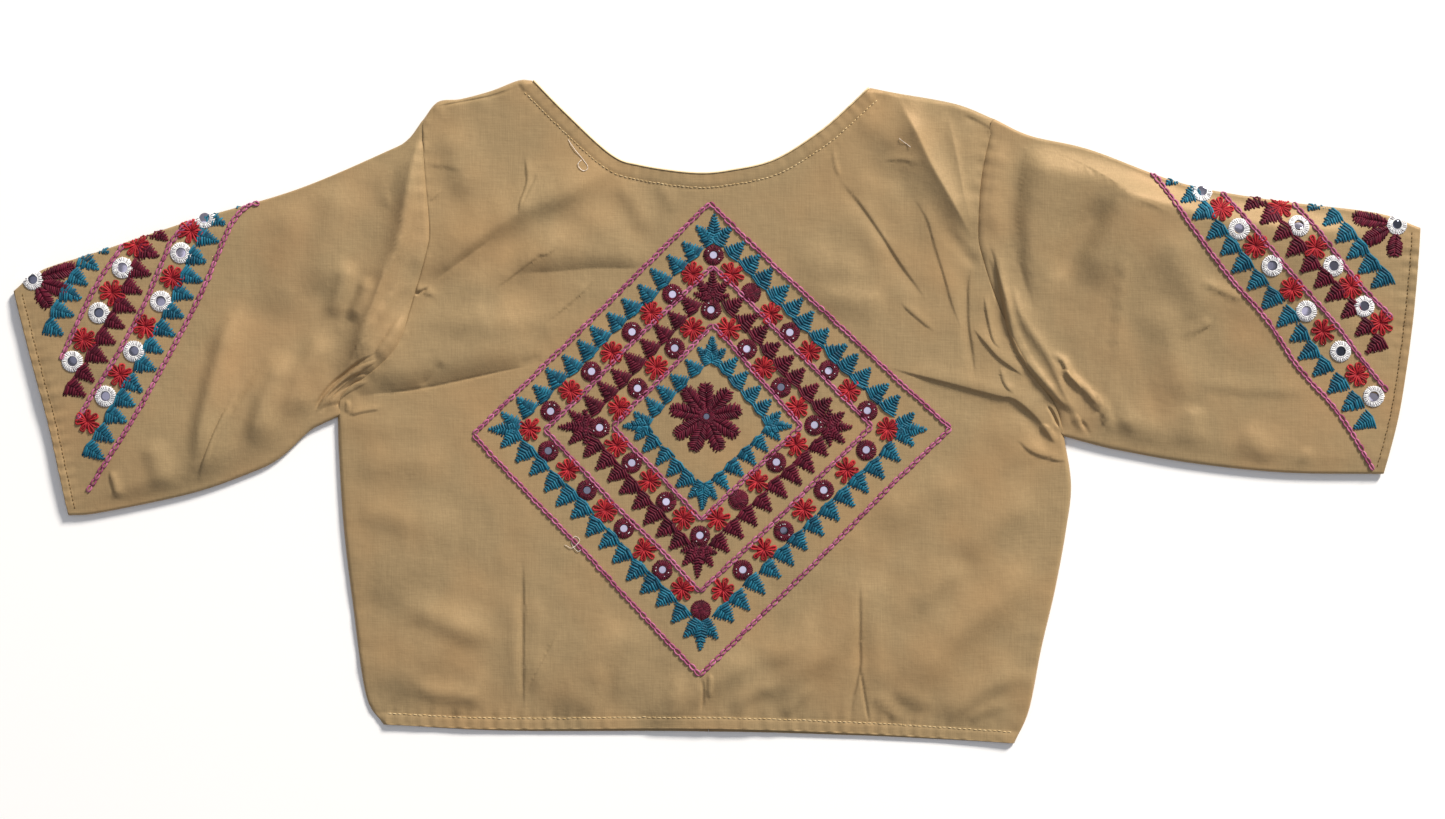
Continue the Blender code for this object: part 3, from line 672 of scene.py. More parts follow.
def grid_faces(rows, columns, turned=False):
    index = np.arange(rows * columns).reshape(rows, columns)
    low, right = index[:-1, :-1], index[:-1, 1:]
    across, up = index[1:, 1:], index[1:, :-1]
    order = (low, up, across, right) if turned else (low, right, across, up)
    return np.stack([corner.ravel() for corner in order], axis=1)


def flat_area(xy, faces):
    """Area in square metres of faces over flat points."""
    corner = xy.reshape(-1, 2)[faces]
    after = np.roll(corner, -1, axis=1)
    twice = (corner[..., 0] * after[..., 1] - corner[..., 1] * after[..., 0]).sum(axis=1)
    return float(np.abs(twice).sum() / 2) * MM * MM


def cloth_piece(name, points, faces, material, thickness):
    piece = mesh_piece(name, points, faces, material)
    solid = piece.modifiers.new("wall", "SOLIDIFY")
    solid.thickness = thickness * MM
    solid.offset = -1
    solid.use_even_offset = False
    return piece


class Surface:
    """The outer face of a sheet of cloth, which sewing and embroidery are laid on."""

    def __init__(self, points, faces, wrap=None):
        self.tree = BVHTree.FromPolygons(points.tolist(), faces.tolist())
        self.wrap = wrap

    def lay(self, xy, side=1):
        """Points on the cloth and its normals there, side 1 seen from above and -1 from below."""
        shape = xy.shape[:-1]
        flat = xy.reshape(-1, 2)
        sides = np.full(len(flat), side)
        if self.wrap is not None:
            flat, sides = self.wrap(flat, sides)
        places = np.empty((len(flat), 3))
        normals = np.empty((len(flat), 3))
        for k, ((x, y), way) in enumerate(zip(flat, sides)):
            hit, normal, _, _ = self.tree.ray_cast((x, y, 60.0 * way), (0, 0, -way))
            if hit is None:
                hit, normal, _, _ = self.tree.find_nearest((x, y, 3.0 if way > 0 else 0.0))
            if normal.z * way < 0 and abs(normal.z) > 0.2:
                normal = -normal
            places[k] = hit
            normals[k] = normal
        return places.reshape(*shape, 3), normals.reshape(*shape, 3)


class Threads:
    """Strands of thread that become one mesh: each is a short row of points with its radii."""

    def __init__(self):
        self.groups = {}
        self.pads = []

    def pad(self, outline, rise, side=1):
        """A low padding under stitches, so that no cloth shows between them."""
        self.pads.append((np.asarray(outline, float), rise, side))

    def add(self, xy, heights, radii, side=1):
        xy = np.asarray(xy, float)
        rows = self.groups.setdefault((len(xy), side), [])
        rows.append((xy, np.asarray(heights, float), np.asarray(radii, float)))

    def piece(self, name, surface, material, sides=5):
        all_points, all_faces, all_tones, base = [], [], [], 0
        stream = np.random.default_rng(len(name))
        for (count, side), rows in sorted(self.groups.items()):
            xy = np.stack([row[0] for row in rows])
            heights = np.stack([row[1] for row in rows])
            radii = np.stack([row[2] for row in rows])
            places, normals = surface.lay(xy, side)
            centres = places + normals * heights[..., None]
            points, faces = tubes(centres, normals, radii, sides)
            all_points.append(points)
            all_faces.append(faces + base)
            all_tones.append(np.repeat(stream.uniform(0, 1, len(rows)), len(points) // len(rows)))
            base += len(points)
        for outline, rise, side in self.pads:
            middle = outline.mean(axis=0)
            rings = np.concatenate([outline, middle + 0.86 * (outline - middle), middle[None]])
            places, normals = surface.lay(rings, side)
            count = len(outline)
            lift = np.concatenate([np.full(count, -0.15), np.full(count, 0.8 * rise), [rise]])
            all_points.append(places + normals * lift[:, None])
            here, after = np.arange(count), (np.arange(count) + 1) % count
            faces = np.concatenate([
                np.stack([here, after, after + count], axis=1),
                np.stack([here, after + count, here + count], axis=1),
                np.stack([here + count, after + count, np.full(count, 2 * count)], axis=1),
            ])
            all_faces.append((faces if side > 0 else faces[:, ::-1]) + base)
            all_tones.append(np.zeros(2 * count + 1))
            base += 2 * count + 1
        return mesh_piece(
            name, np.vstack(all_points), np.vstack(all_faces), material, np.concatenate(all_tones)
        )


def tubes(centres, normals, radii, sides):
    """Triangles of tubes along rows of centres, pinched shut at both ends."""
    number, count = radii.shape
    along = np.empty_like(centres)
    along[:, 1:-1] = centres[:, 2:] - centres[:, :-2]
    along[:, 0] = centres[:, 1] - centres[:, 0]
    along[:, -1] = centres[:, -1] - centres[:, -2]
    along /= np.maximum(np.linalg.norm(along, axis=-1, keepdims=True), 1e-9)
    beside = np.cross(along, normals)
    beside /= np.maximum(np.linalg.norm(beside, axis=-1, keepdims=True), 1e-9)
    above = np.cross(beside, along)
    angles = np.arange(sides) * 2 * math.pi / sides + math.pi / sides
    rings = (
        centres[:, :, None]
        + radii[:, :, None, None]
        * (np.cos(angles)[:, None] * beside[:, :, None] + 0.72 * np.sin(angles)[:, None] * above[:, :, None])
    )
    first_tip = centres[:, 0] - 0.5 * radii[:, :1] * along[:, 0]
    last_tip = centres[:, -1] + 0.5 * radii[:, -1:] * along[:, -1]
    tips = np.stack([first_tip, last_tip], axis=1)
    per_tube = count * sides + 2
    points = np.concatenate([rings.reshape(number, count * sides, 3), tips], axis=1)
    faces = []
    for ring in range(count - 1):
        for k in range(sides):
            a, b = ring * sides + k, ring * sides + (k + 1) % sides
            faces += [(a, a + sides, b + sides), (a, b + sides, b)]
    first, last = count * sides, count * sides + 1
    for k in range(sides):
        following = (k + 1) % sides
        faces += [(first, k, following)]
        faces += [(last, (count - 1) * sides + following, (count - 1) * sides + k)]
    faces = np.array(faces)
    every = (faces[None] + (np.arange(number) * per_tube)[:, None, None]).reshape(-1, 3)
    return points.reshape(-1, 3), every


def linear(hexed):
    """A linear colour from sRGB hex."""
    channels = [int(hexed[k:k + 2], 16) / 255 for k in (1, 3, 5)]
    return tuple(c / 12.92 if c <= 0.04045 else ((c + 0.055) / 1.055) ** 2.4 for c in channels) + (1.0,)


def new_material(name):
    made = bpy.data.materials.new(name)
    made.use_nodes = True
    tree = made.node_tree
    return made, tree, tree.nodes["Principled BSDF"]


def set_inputs(tree, node, inputs):
    """Links or sets the inputs of a node, by name or number."""
    for key, value in inputs.items():
        if isinstance(value, bpy.types.NodeSocket):
            tree.links.new(value, node.inputs[key])
        else:
            node.inputs[key].default_value = value


def add_node(tree, kind, inputs=None, **settings):
    node = tree.nodes.new(kind)
    for key, value in settings.items():
        setattr(node, key, value)
    set_inputs(tree, node, inputs or {})
    return node


def in_millimetres(tree, scale=(1.0, 1.0, 1.0), turn=0.0):
    """The object's own coordinates in millimetres, stretched by scale."""
    place = add_node(tree, "ShaderNodeTexCoord").outputs["Object"]
    inputs = {"Vector": place, "Scale": tuple(1000 * s for s in scale), "Rotation": (0, 0, turn)}
    return add_node(tree, "ShaderNodeMapping", inputs).outputs["Vector"]


def noise(tree, place, scale, detail):
    inputs = {"Vector": place, "Scale": scale, "Detail": detail}
    return add_node(tree, "ShaderNodeTexNoise", inputs).outputs["Fac"]


def ridges(tree, place, direction, scale, distortion):
    """Fine ridges of thread."""
    inputs = {"Vector": place, "Scale": scale, "Distortion": distortion, "Detail": 1.0}
    return add_node(tree, "ShaderNodeTexWave", inputs, bands_direction=direction).outputs["Fac"]


def calculated(tree, operation, *values):
    node = add_node(tree, "ShaderNodeMath", dict(enumerate(values)), operation=operation)
    return node.outputs[0]


def mapped(tree, value, low, high, to_low=0.0, to_high=1.0):
    """The value with its range from low to high moved to another."""
    inputs = {"Value": value, "From Min": low, "From Max": high, "To Min": to_low, "To Max": to_high}
    return add_node(tree, "ShaderNodeMapRange", inputs).outputs[0]


def blended(tree, share, first, second):
    """The colour at a share of the way from first to second."""
    inputs = {0: share, 6: first, 7: second}
    return add_node(tree, "ShaderNodeMix", inputs, data_type="RGBA").outputs[2]


def bumped(tree, height, strength, distance, normal=None):
    inputs = {"Height": height, "Strength": strength, "Distance": distance}
    if normal is not None:
        inputs["Normal"] = normal
    return add_node(tree, "ShaderNodeBump", inputs).outputs[0]


def own_tone(tree):
    """The number that mesh_piece gives to each strand or disc."""
    return add_node(tree, "ShaderNodeAttribute", attribute_name="tone").outputs["Fac"]


def cotton_silk(name, colour, warm, turn):
    """Woven cotton silk: a fine plain weave with slubs, and a soft sheen that turns peach where
    the cloth is lit from the side."""
    made, tree, surface = new_material(name)
    fine = in_millimetres(tree, turn=turn)
    weft = in_millimetres(tree, (0.09, 1.9, 1.0), turn)
    warp = in_millimetres(tree, (1.7, 0.07, 1.0), turn)
    slubs = calculated(tree, "ADD", noise(tree, weft, 1.0, 3.0), noise(tree, warp, 1.0, 3.0))
    cloud = noise(tree, fine, 0.017, 2.5)
    weave = calculated(tree, "ADD", ridges(tree, fine, "X", 0.72, 0.8), ridges(tree, fine, "Y", 0.72, 0.8))
    deep = tuple(c * 0.86 for c in linear(colour)[:3]) + (1.0,)
    light = tuple(min(c * 1.1, 1.0) for c in linear(colour)[:3]) + (1.0,)
    woven = blended(tree, mapped(tree, slubs, 0.65, 1.35), deep, light)
    normal = bumped(tree, weave, 0.25, 0.00006)
    normal = bumped(tree, slubs, 0.4, 0.00012, normal)
    normal = bumped(tree, noise(tree, fine, 0.09, 3.0), 0.5, 0.0009, normal)
    set_inputs(tree, surface, {
        "Base Color": blended(tree, mapped(tree, cloud, 0.42, 0.7, 0.0, 0.4), woven, linear(warm)),
        "Roughness": mapped(tree, cloud, 0.35, 0.65, 0.52, 0.42),
        "IOR": 1.45,
        "Sheen Weight": 0.25,
        "Sheen Roughness": 0.35,
        "Sheen Tint": linear("#E8B080"),
        "Specular Tint": linear("#FFD2A8"),
        "Normal": normal,
    })
    return made


def thread_material(name, colour, other, roughness, sheen):
    """Stranded cotton: each stitch takes its own shade between two close dyes and darkens in
    short runs, with a soft lustre and fine ridges of twist."""
    made, tree, surface = new_material(name)
    fine = in_millimetres(tree)
    shade = calculated(tree, "MULTIPLY_ADD", noise(tree, fine, 0.5, 2.0), 1.6, own_tone(tree))
    set_inputs(tree, surface, {
        "Base Color": blended(tree, mapped(tree, shade, 0.7, 1.9), linear(colour), linear(other)),
        "Roughness": roughness,
        "IOR": 1.5,
        "Specular IOR Level": 0.22,
        "Sheen Weight": sheen,
        "Sheen Roughness": 0.4,
        "Normal": bumped(tree, ridges(tree, fine, "DIAGONAL", 0.9, 1.5), 0.4, 0.0001),
    })
    return made


def mirror_glass(name):
    """Thin blown glass silvered on its back: each disc is its own grey or lilac, and a little
    uneven."""
    made, tree, surface = new_material(name)
    wavy = noise(tree, in_millimetres(tree), 0.14, 1.0)
    set_inputs(tree, surface, {
        "Base Color": blended(tree, own_tone(tree), linear("#5C6170"), linear("#E4DDF0")),
        "Metallic": 1.0,
        "Roughness": 0.14,
        "Normal": bumped(tree, wavy, 0.4, 0.0006),
    })
    return made


# Each cloth's name, colour (None is the panel's cloth colour), warmer tint and turn of its weave
# in radians.
CLOTHS = {
    "cotton_silk": ("woven_cotton_silk", None, "#B08B60", 0.0),
    "sleeve_silk": ("woven_cotton_silk_sleeve", None, "#B48C62", 0.35),
    "bias_cotton": ("bias_cut_cotton", "#D9C49A", "#D2B384", 0.785),
}

# Each thread's name, its two dyes, its roughness and its sheen.
DYED_THREADS = {
    "teal": ("teal_cotton_thread", "#0D4258", "#20758F", 0.55, 0.1),
    "maroon": ("maroon_cotton_thread", "#3E0A1C", "#6C1730", 0.62, 0.0),
    "red": ("red_cotton_thread", "#7E0F1E", "#BE2A32", 0.6, 0.08),
    "pink": ("pink_cotton_thread", "#8A3A5E", "#C06E94", 0.55, 0.15),
    "white": ("white_cotton_thread", "#BDBBC0", "#FFFFFF", 0.55, 0.3),
    "pale": ("pale_sewing_thread", "#E2D2C2", "#F8EFE6", 0.5, 0.2),
    "cream": ("cream_sewing_thread", "#C9AC78", "#E2CB9E", 0.5, 0.2),
    "ditch": ("dark_sewing_thread", "#6A5230", "#7A6038", 0.6, 0.1),
}


class Store:
    """Materials and surfaces that several operators share, made once."""

    materials = {}
    surfaces = {}


def hex_of(colour):
    """The sRGB hex of a linear colour property."""
    return "#%02X%02X%02X" % tuple(
        round(255 * (12.92 * c if c <= 0.0031308 else 1.055 * c ** (1 / 2.4) - 0.055)) for c in colour[:3]
    )


def shared(name):
    """The material of a name, made when it is first asked for."""
    if name not in Store.materials:
        if name in CLOTHS:
            own, colour, warm, turn = CLOTHS[name]
            colour = colour or hex_of(bpy.context.scene.choli_looks.cloth)
            Store.materials[name] = cotton_silk(own, colour, warm, turn)
        elif name in DYED_THREADS:
            Store.materials[name] = thread_material(*DYED_THREADS[name])
        else:
            Store.materials[name] = mirror_glass("silvered_glass")
    return Store.materials[name]


NECK = smooth_path(NECK_BACK)
HEM = smooth_path(BACK_HEM)


FRONT_HEM = smooth_path([(x, y - 1.8) for x, y in BACK_HEM])

# The share of the front hem where the opening meets it.
FRONT_MIDDLE = (CENTRE_FRONT_X - FRONT_HEM(0.0)[0]) / (FRONT_HEM(1.0)[0] - FRONT_HEM(0.0)[0])


def armhole(side):
    return smooth_path(ARMHOLE_LEFT if side < 0 else ARMHOLE_RIGHT)


def front_neck(side):
    return smooth_path(NECK_FRONT_LEFT if side < 0 else NECK_FRONT_RIGHT)


def sleeve_top(side):
    return smooth_path(SLEEVE_TOP_LEFT if side < 0 else SLEEVE_TOP_RIGHT)


def cuff_edge(side):
    return smooth_path(CUFF_LEFT if side < 0 else CUFF_RIGHT)


def back_heights(xy, props):
    """Height of the back's outer face at points on it, in millimetres."""
    lift = crease_lift(xy, CREASES)[0] * props.crease_height + soft_waves(xy, 0.5) + crumple(xy, 0.13)
    lift = settled(lift)
    hem, neck = NearPath(HEM, xy), NearPath(NECK, xy)
    lift -= 1.9 * fade(hem.distance, 0, 45)
    placket = np.exp(-(((xy[..., 0] - CENTRE_FRONT_X) / 30) ** 4)) * PLACKET_RISE
    # The turned hem and the neck's band lie higher, and their stitches draw them in.
    turned = 0.4 * (fade(hem.distance, 6.4, 1.4) - groove(hem.distance, HEM_STITCH, 1.0))
    band = 0.45 * (fade(neck.distance, 7.4, 1.6) - groove(neck.distance, 7.8, 1.1))
    ripples = pucker(hem, 1.0, 15, 7.4, 0.3) + pucker(neck, 0.5, 13, 6.2, 0.26, 0.8)
    height = BACK_LEVEL + lift + placket + turned + band + ripples
    for side, drop in ((-1, 0.9), (1, 0.1)):
        seam = NearPath(armhole(side), xy)
        height += pucker(seam, 1.0, 9, 9.5, 0.22, 2.0)
        height -= drop * (1 - rounded(seam.distance, 1.5))
    for points in (SIDE_LEFT, SIDE_RIGHT, SHOULDER_LEFT, SHOULDER_RIGHT):
        seam = NearPath(smooth_path(points), xy)
        height += pucker(seam, 2.0, 10, 13, 0.25, 1.0)
        height = SEWN_LEVEL + (height - SEWN_LEVEL) * rounded(seam.distance, 3.4)
    return height


class CHOLI_PG_cloth(bpy.types.PropertyGroup):
    """Sizes of the cloth."""

    thickness: FloatProperty(
        name="Cloth thickness", description="Thickness of one layer of cloth in millimetres",
        default=0.5, min=0.2, max=1.2,
    )
    grid: FloatProperty(
        name="Grid step", description="Spacing of the cloth's points in millimetres",
        default=3.0, min=2.5, max=12.0,
    )
    crease_height: FloatProperty(
        name="Crease height", description="How high the creases stand, as a share of the measured ones",
        default=1.25, min=0.0, max=2.0, subtype="FACTOR",
    )


class CHOLI_PG_sewing(bpy.types.PropertyGroup):
    """Sizes of the sewing and the embroidery."""

    stitch: FloatProperty(
        name="Stitch length", description="Length of one machine stitch in millimetres",
        default=2.4, min=1.0, max=6.0,
    )
    thread: FloatProperty(
        name="Embroidery thread", description="Radius of the embroidery thread in millimetres",
        default=0.64, min=0.2, max=1.0,
    )
    chain: FloatProperty(
        name="Chain stitch", description="Length of one link of the pink chain stitch in millimetres",
        default=4.3, min=1.5, max=6.0,
    )
    seed: IntProperty(name="Seed", description="Seed of the hand-made unevenness", default=7, min=0)


class CHOLI_PG_looks(bpy.types.PropertyGroup):
    """Colours and light."""

    cloth: FloatVectorProperty(
        name="Cloth colour", description="Colour of the cotton silk", subtype="COLOR",
        size=3, default=linear("#9D8764")[:3], min=0.0, max=1.0,
    )
    floor: FloatVectorProperty(
        name="Floor colour", description="Colour of the floor", subtype="COLOR",
        size=3, default=linear("#FEFEFE")[:3], min=0.0, max=1.0,
    )
    key: FloatProperty(
        name="Key light", description="Power of the key light",
        default=1650.0, min=0.0, unit="POWER",
    )
    fill: FloatProperty(
        name="Fill light", description="Strength of the even light", default=0.3, min=0.0,
    )


class CHOLI_OT_back(bpy.types.Operator):
    """Build the back panel with its folds, darts and hem"""

    bl_idname = "choli.back"
    bl_label = "Back panel"

    def execute(self, context):
        props = context.scene.choli_cloth
        top = in_turn([smooth_path(SHOULDER_LEFT), NECK, smooth_path(SHOULDER_RIGHT)], [*HEM_SHARES, 1.0])
        left = in_turn([smooth_path(SIDE_LEFT), armhole(-1)], [SIDE_SHARE, 1.0])
        right = in_turn([smooth_path(SIDE_RIGHT), armhole(1)], [SIDE_SHARE, 1.0])
        count = lambda length: max(3, round(length / props.grid))
        columns = steps((HEM_SHARES[0], count(90)), (HEM_SHARES[1], count(222)), (1.0, count(90)))
        rows = steps((SIDE_SHARE, count(193)), (1.0, count(190)))
        columns = finer_ends(columns, columns[1], 1 - columns[-2])
        rows = finer_ends(rows, rows[1], 1 - rows[-2])
        v, u = np.meshgrid((rows[1:] + rows[:-1]) / 2, (columns[1:] + columns[:-1]) / 2, indexing="ij")
        edges = [(HEM, 10, 1), (NECK, 10, 1), (armhole(-1), 2.4, 2), (armhole(1), 2.4, 2)]
        down, across, faces = closer_grid(cell_levels(patch(HEM, top, left, right, u, v), edges))
        v = np.interp(down, np.arange(len(rows)), rows)
        u = np.interp(across, np.arange(len(columns)), columns)
        xy = patch(HEM, top, left, right, u, v)
        height = back_heights(xy, props)
        points = np.concatenate([xy, height[..., None]], axis=-1)
        piece = cloth_piece("back_cloth", points, faces, shared("cotton_silk"), props.thickness)
        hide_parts("back_panel")
        Store.surfaces["back"] = Surface(points, faces)
        return {"FINISHED"}


class CHOLI_OT_fronts(bpy.types.Operator):
    """Build the two front panels, flat under the back, with the strip behind their opening"""

    bl_idname = "choli.fronts"
    bl_label = "Front panels"

    def execute(self, context):
        props = context.scene.choli_cloth
        for side, name in ((-1, "left"), (1, "right")):
            is_left = side < 0
            seam = smooth_path(SIDE_LEFT if is_left else SIDE_RIGHT)
            scoop = scooped(armhole(side), FRONT_SCOOP, -side)
            neck = front_neck(side)
            shoulder = smooth_path(SHOULDER_LEFT if is_left else SHOULDER_RIGHT)
            centre = smooth_path([FRONT_HEM(FRONT_MIDDLE), neck(0.0)])
            outer = in_turn([seam, scoop], [SIDE_SHARE, 1.0])
            inner = in_turn([centre, neck], [SIDE_SHARE, 1.0])
            edges = (outer, inner) if is_left else (inner, outer)
            start, span = (0.0, FRONT_MIDDLE) if is_left else (FRONT_MIDDLE, 1 - FRONT_MIDDLE)
            step = 1.3 * props.grid
            half_rows = round(190 / step)
            columns = steps((1.0, round(200 / step)))
            rows = steps((SIDE_SHARE, half_rows), (1.0, half_rows))
            v, u = np.meshgrid(rows, columns, indexing="ij")
            xy = patch(lambda u: FRONT_HEM(start + u * span), shoulder, *edges, u, v)
            xy[..., 0] += side * 0.15 * (u if is_left else 1 - u)
            hem_near, neck_near, open_near = NearPath(FRONT_HEM, xy), NearPath(neck, xy), NearPath(centre, xy)
            dents = np.maximum(soft_waves(xy * 1.3 + 40, 0.3), 0)
            dents += 0.3 * groove(hem_near.distance, FRONT_HEM_STITCH, 1.2)
            dents += 0.3 * groove(neck_near.distance, FRONT_NECK_STITCH, 1.2)
            dents += 0.3 * groove(open_near.distance, FRONT_EDGE_STITCH, 1.2)
            dents += 0.9 * groove(hem_near.distance, 0, 3.2)
            dents += np.maximum(pucker(hem_near, 1.0, 14, 8.2, 0.2, 2.4), 0)
            dents += np.maximum(pucker(neck_near, 1.0, 14, 7.4, 0.2, 1.4), 0)
            height = np.minimum(dents, HIGHEST_DENT)
            points = np.concatenate([xy, height[..., None]], axis=-1).reshape(-1, 3)
            faces = grid_faces(len(rows), len(columns), turned=True)
            piece = cloth_piece(f"front_{name}_cloth", points, faces, shared("cotton_silk"), props.thickness)
            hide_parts(f"front_{name}")
            Store.surfaces[f"front_{name}"] = Surface(points, faces)
        self.placket(props)
        return {"FINISHED"}

    def placket(self, props):
        """The strip behind the closed opening."""
        x = CENTRE_FRONT_X + np.linspace(-12.5, 12.5, 13)
        y = np.linspace(HEM(0.52)[1] + 1.0, NECK_FRONT_LEFT[0][1] - 1.0, 110)
        grid_y, grid_x = np.meshgrid(y, x, indexing="ij")
        xy = np.stack([grid_x, grid_y], axis=-1)
        height = 2.05 + 0.12 * np.sin(grid_y / 9) * np.sin(grid_x / 5)
        points = np.concatenate([xy, height[..., None]], axis=-1).reshape(-1, 3)
        faces = grid_faces(len(y), len(x))
        piece = cloth_piece("front_placket_cloth", points, faces, shared("bias_cotton"), props.thickness)
        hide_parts("front_placket")


class CHOLI_OT_sleeves(bpy.types.Operator):
    """Build the two sleeves, each a flattened tube with its folds and cuff"""

    bl_idname = "choli.sleeves"
    bl_label = "Sleeves"

    def execute(self, context):
        for side, name in ((-1, "left"), (1, "right")):
            self.sleeve(side, name, context.scene.choli_cloth)
        return {"FINISHED"}

    def sleeve(self, side, name, props):
        """A tube folded flat. Its columns go round it, from the low fold over the upper layer to the
        top fold and back below, and its rows run from the armhole to the cuff. s is the share of
        the way from the top fold to the low one, and v from the armhole to the cuff."""
        is_left = side < 0
        over_armhole = backwards(armhole(side))
        under_armhole = scooped(over_armhole, FRONT_SCOOP, -side)
        top, cuff = sleeve_top(side), cuff_edge(side)
        low = smooth_path(SLEEVE_LOW_LEFT if is_left else SLEEVE_LOW_RIGHT)
        # The share of the sleeve's width that a fold takes, and the points along it.
        bend = FOLD_RADIUS / 165.0
        near_fold = bend * np.array([0.0, 0.12, 0.3, 0.6, 1.0, 1.6])
        upper = np.concatenate([near_fold, steps((1.0, round(178 / props.grid)))[2:-2], 1 - near_fold[::-1]])
        lower = np.concatenate([near_fold, steps((1.0, round(60 / props.grid)))[1:-1], 1 - near_fold[::-1]])
        share = np.concatenate([upper[::-1], lower[1:-1]])
        seam_rows = np.array([0.0, 0.0025, 0.005, 0.0085, 0.013])
        cuff_rows = 1 - np.array([0.022, 0.0165, 0.011, 0.0055, 0.0])
        stations = np.concatenate([seam_rows, np.linspace(0.02, 0.97, round(232 / props.grid)), cuff_rows])
        mid_v, mid_s = np.meshgrid(
            (stations[1:] + stations[:-1]) / 2, (share + np.roll(share, -1)) / 2, indexing="ij"
        )
        flat_mid = patch(top, low, over_armhole, cuff, mid_v, mid_s)
        levels = cell_levels(flat_mid, [(cuff, 9, 1), (armhole(side), 9, 1), (armhole(side), 2.4, 2)])
        levels[:, :5] = 0
        levels[:, len(upper) - 6 :] = 0
        down, across, faces = closer_grid(levels, closed=True)
        v = np.interp(down, np.arange(len(stations)), stations)
        s = np.interp(across, np.arange(len(share)), share)
        is_upper = (across <= len(upper) - 1)[:, None]
        over = patch(top, low, over_armhole, cuff, v, s)
        under = patch(top, low, under_armhole, cuff, v, s)
        xy = np.where(is_upper, over, under)
        away = np.where(is_upper, leftward(over_armhole, s), leftward(under_armhole, s)) * side
        bulge = SLEEVE_BULGE * v * (1 - v) ** 3 * (1 - (2 * s - 1) ** 8)
        xy = xy + bulge[..., None] * away
        flat_xy = xy.copy()
        tuck = 1.3 * np.clip(1 - v / 0.013, 0, 1) * np.clip(np.minimum(s, 1 - s) / bend, 0, 1)
        xy = xy - tuck[..., None] * away
        from_fold = np.minimum(s, 1 - s) / bend
        rounding = rounded(from_fold, 1.0)
        inland = smooth_step((from_fold - 0.6) / 6)
        seam = NearPath(armhole(side), flat_xy, 60)
        hem = NearPath(cuff, flat_xy, 60)
        rise = SLEEVE_RISE * smooth_step(seam.distance / 40)
        rise *= 1 - 0.55 * smooth_step((45 - hem.distance) / 45)
        lift = crease_lift(flat_xy, CREASES)[0] * props.crease_height * 1.2
        lift = settled(lift + soft_waves(flat_xy, 0.5) + crumple(flat_xy, 0.13))
        turned = 0.35 * (fade(hem.distance, 4.6, 1.4) - groove(hem.distance, CUFF_STITCH, 1.0))
        ripples = pucker(hem, 0.6, 12, 7.0, 0.28, 0.5 + side) + pucker(seam, 1.0, 9, 9.5, 0.22, 2.0)
        if is_left:
            rolled = NearPath(smooth_path(SLEEVE_SEAM_LEFT), flat_xy)
            lift -= 0.8 * groove(rolled.distance, 0, 1.1)
        ditch = 1.4 * groove(seam.distance, 0, 1.3) * smooth_step(1 - v / 0.05)
        lift += 0.55 * smooth_step((seam.distance - 1.0) / 3) * fade(seam.distance, 8, 20)
        level = BACK_LEVEL - FOLD_RADIUS
        # The creases begin further from the top fold than from the low one.
        slow = smooth_step((from_fold * np.where(s < 0.5, 0.7, 1.0) - 0.6) / 6)
        above = FOLD_RADIUS + level * rounding + (rise + lift) * slow
        above += (turned + ripples - ditch) * inland
        below = FOLD_RADIUS * (1 - rounding)
        dents = np.maximum(soft_waves(flat_xy * 1.2 + 70, 0.3), 0)
        dents += np.maximum(pucker(hem, 0.6, 12, 7.0, 0.25), 0) + 0.75 * groove(v, 0, 0.016)
        # Below, the cuff lies on its embroidery.
        padding = 1.05 * smooth_step((v - 0.25) / 0.12) * smooth_step(from_fold)
        below = below + np.minimum(dents, HIGHEST_DENT) * inland + padding
        height = np.where(is_upper[..., 0], above, below)
        points = np.concatenate([xy, height[..., None]], axis=-1)
        faces = faces if side < 0 else faces[:, ::-1]
        piece = cloth_piece(f"sleeve_{name}_cloth", points, faces, shared("sleeve_silk"), props.thickness)
        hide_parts(f"sleeve_{name}")
        flat_area(flat_xy, faces)

        def wrap(flat, sides):
            """Points past the top fold go round it to the lower layer."""
            near = NearPath(top, flat, 400)
            share = near.along / near.length
            outward = leftward(top, share) * side
            depth = np.einsum("ij,ij->i", flat - top(share), outward)
            beyond = (near.side * side > 0) & (depth > 0)
            moved = flat - np.where(beyond, 2 * depth, 0)[:, None] * outward
            return moved, np.where(beyond, -sides, sides)

        Store.surfaces[f"sleeve_{name}"] = Surface(points, faces, wrap)


class CHOLI_OT_neck(bpy.types.Operator):
    """Build the bias facing that binds the back neck"""

    bl_idname = "choli.neck"
    bl_label = "Neck facing"

    def execute(self, context):
        props = context.scene.choli_cloth
        s = np.linspace(0.004, 0.996, 190)
        edge = NECK(s)
        inward = -leftward(NECK, s)
        # How far in from the edge, and how far below the back's face there.
        profile = [(8.0, -0.9), (5.5, -0.75), (3.0, -0.7), (1.2, -0.68), (0.2, -0.62), (-0.55, -0.45),
                   (-0.85, -0.15), (-0.7, 0.06), (-0.25, 0.12)]
        nearest, thickness = 0.4, 0.28
        rows = []
        base = back_heights(edge + nearest * inward, props)
        for across, drop in profile:
            xy = edge + across * inward
            top = back_heights(xy, props) if across > nearest else base
            rows.append(np.concatenate([xy, np.maximum(top + drop, 0.9)[:, None]], axis=1))
        points = np.stack(rows)
        faces = grid_faces(len(profile), len(s))
        piece = cloth_piece(
            "neck_facing_cloth", points.reshape(-1, 3), faces, shared("bias_cotton"), thickness
        )
        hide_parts("neck_facing")
        return {"FINISHED"}


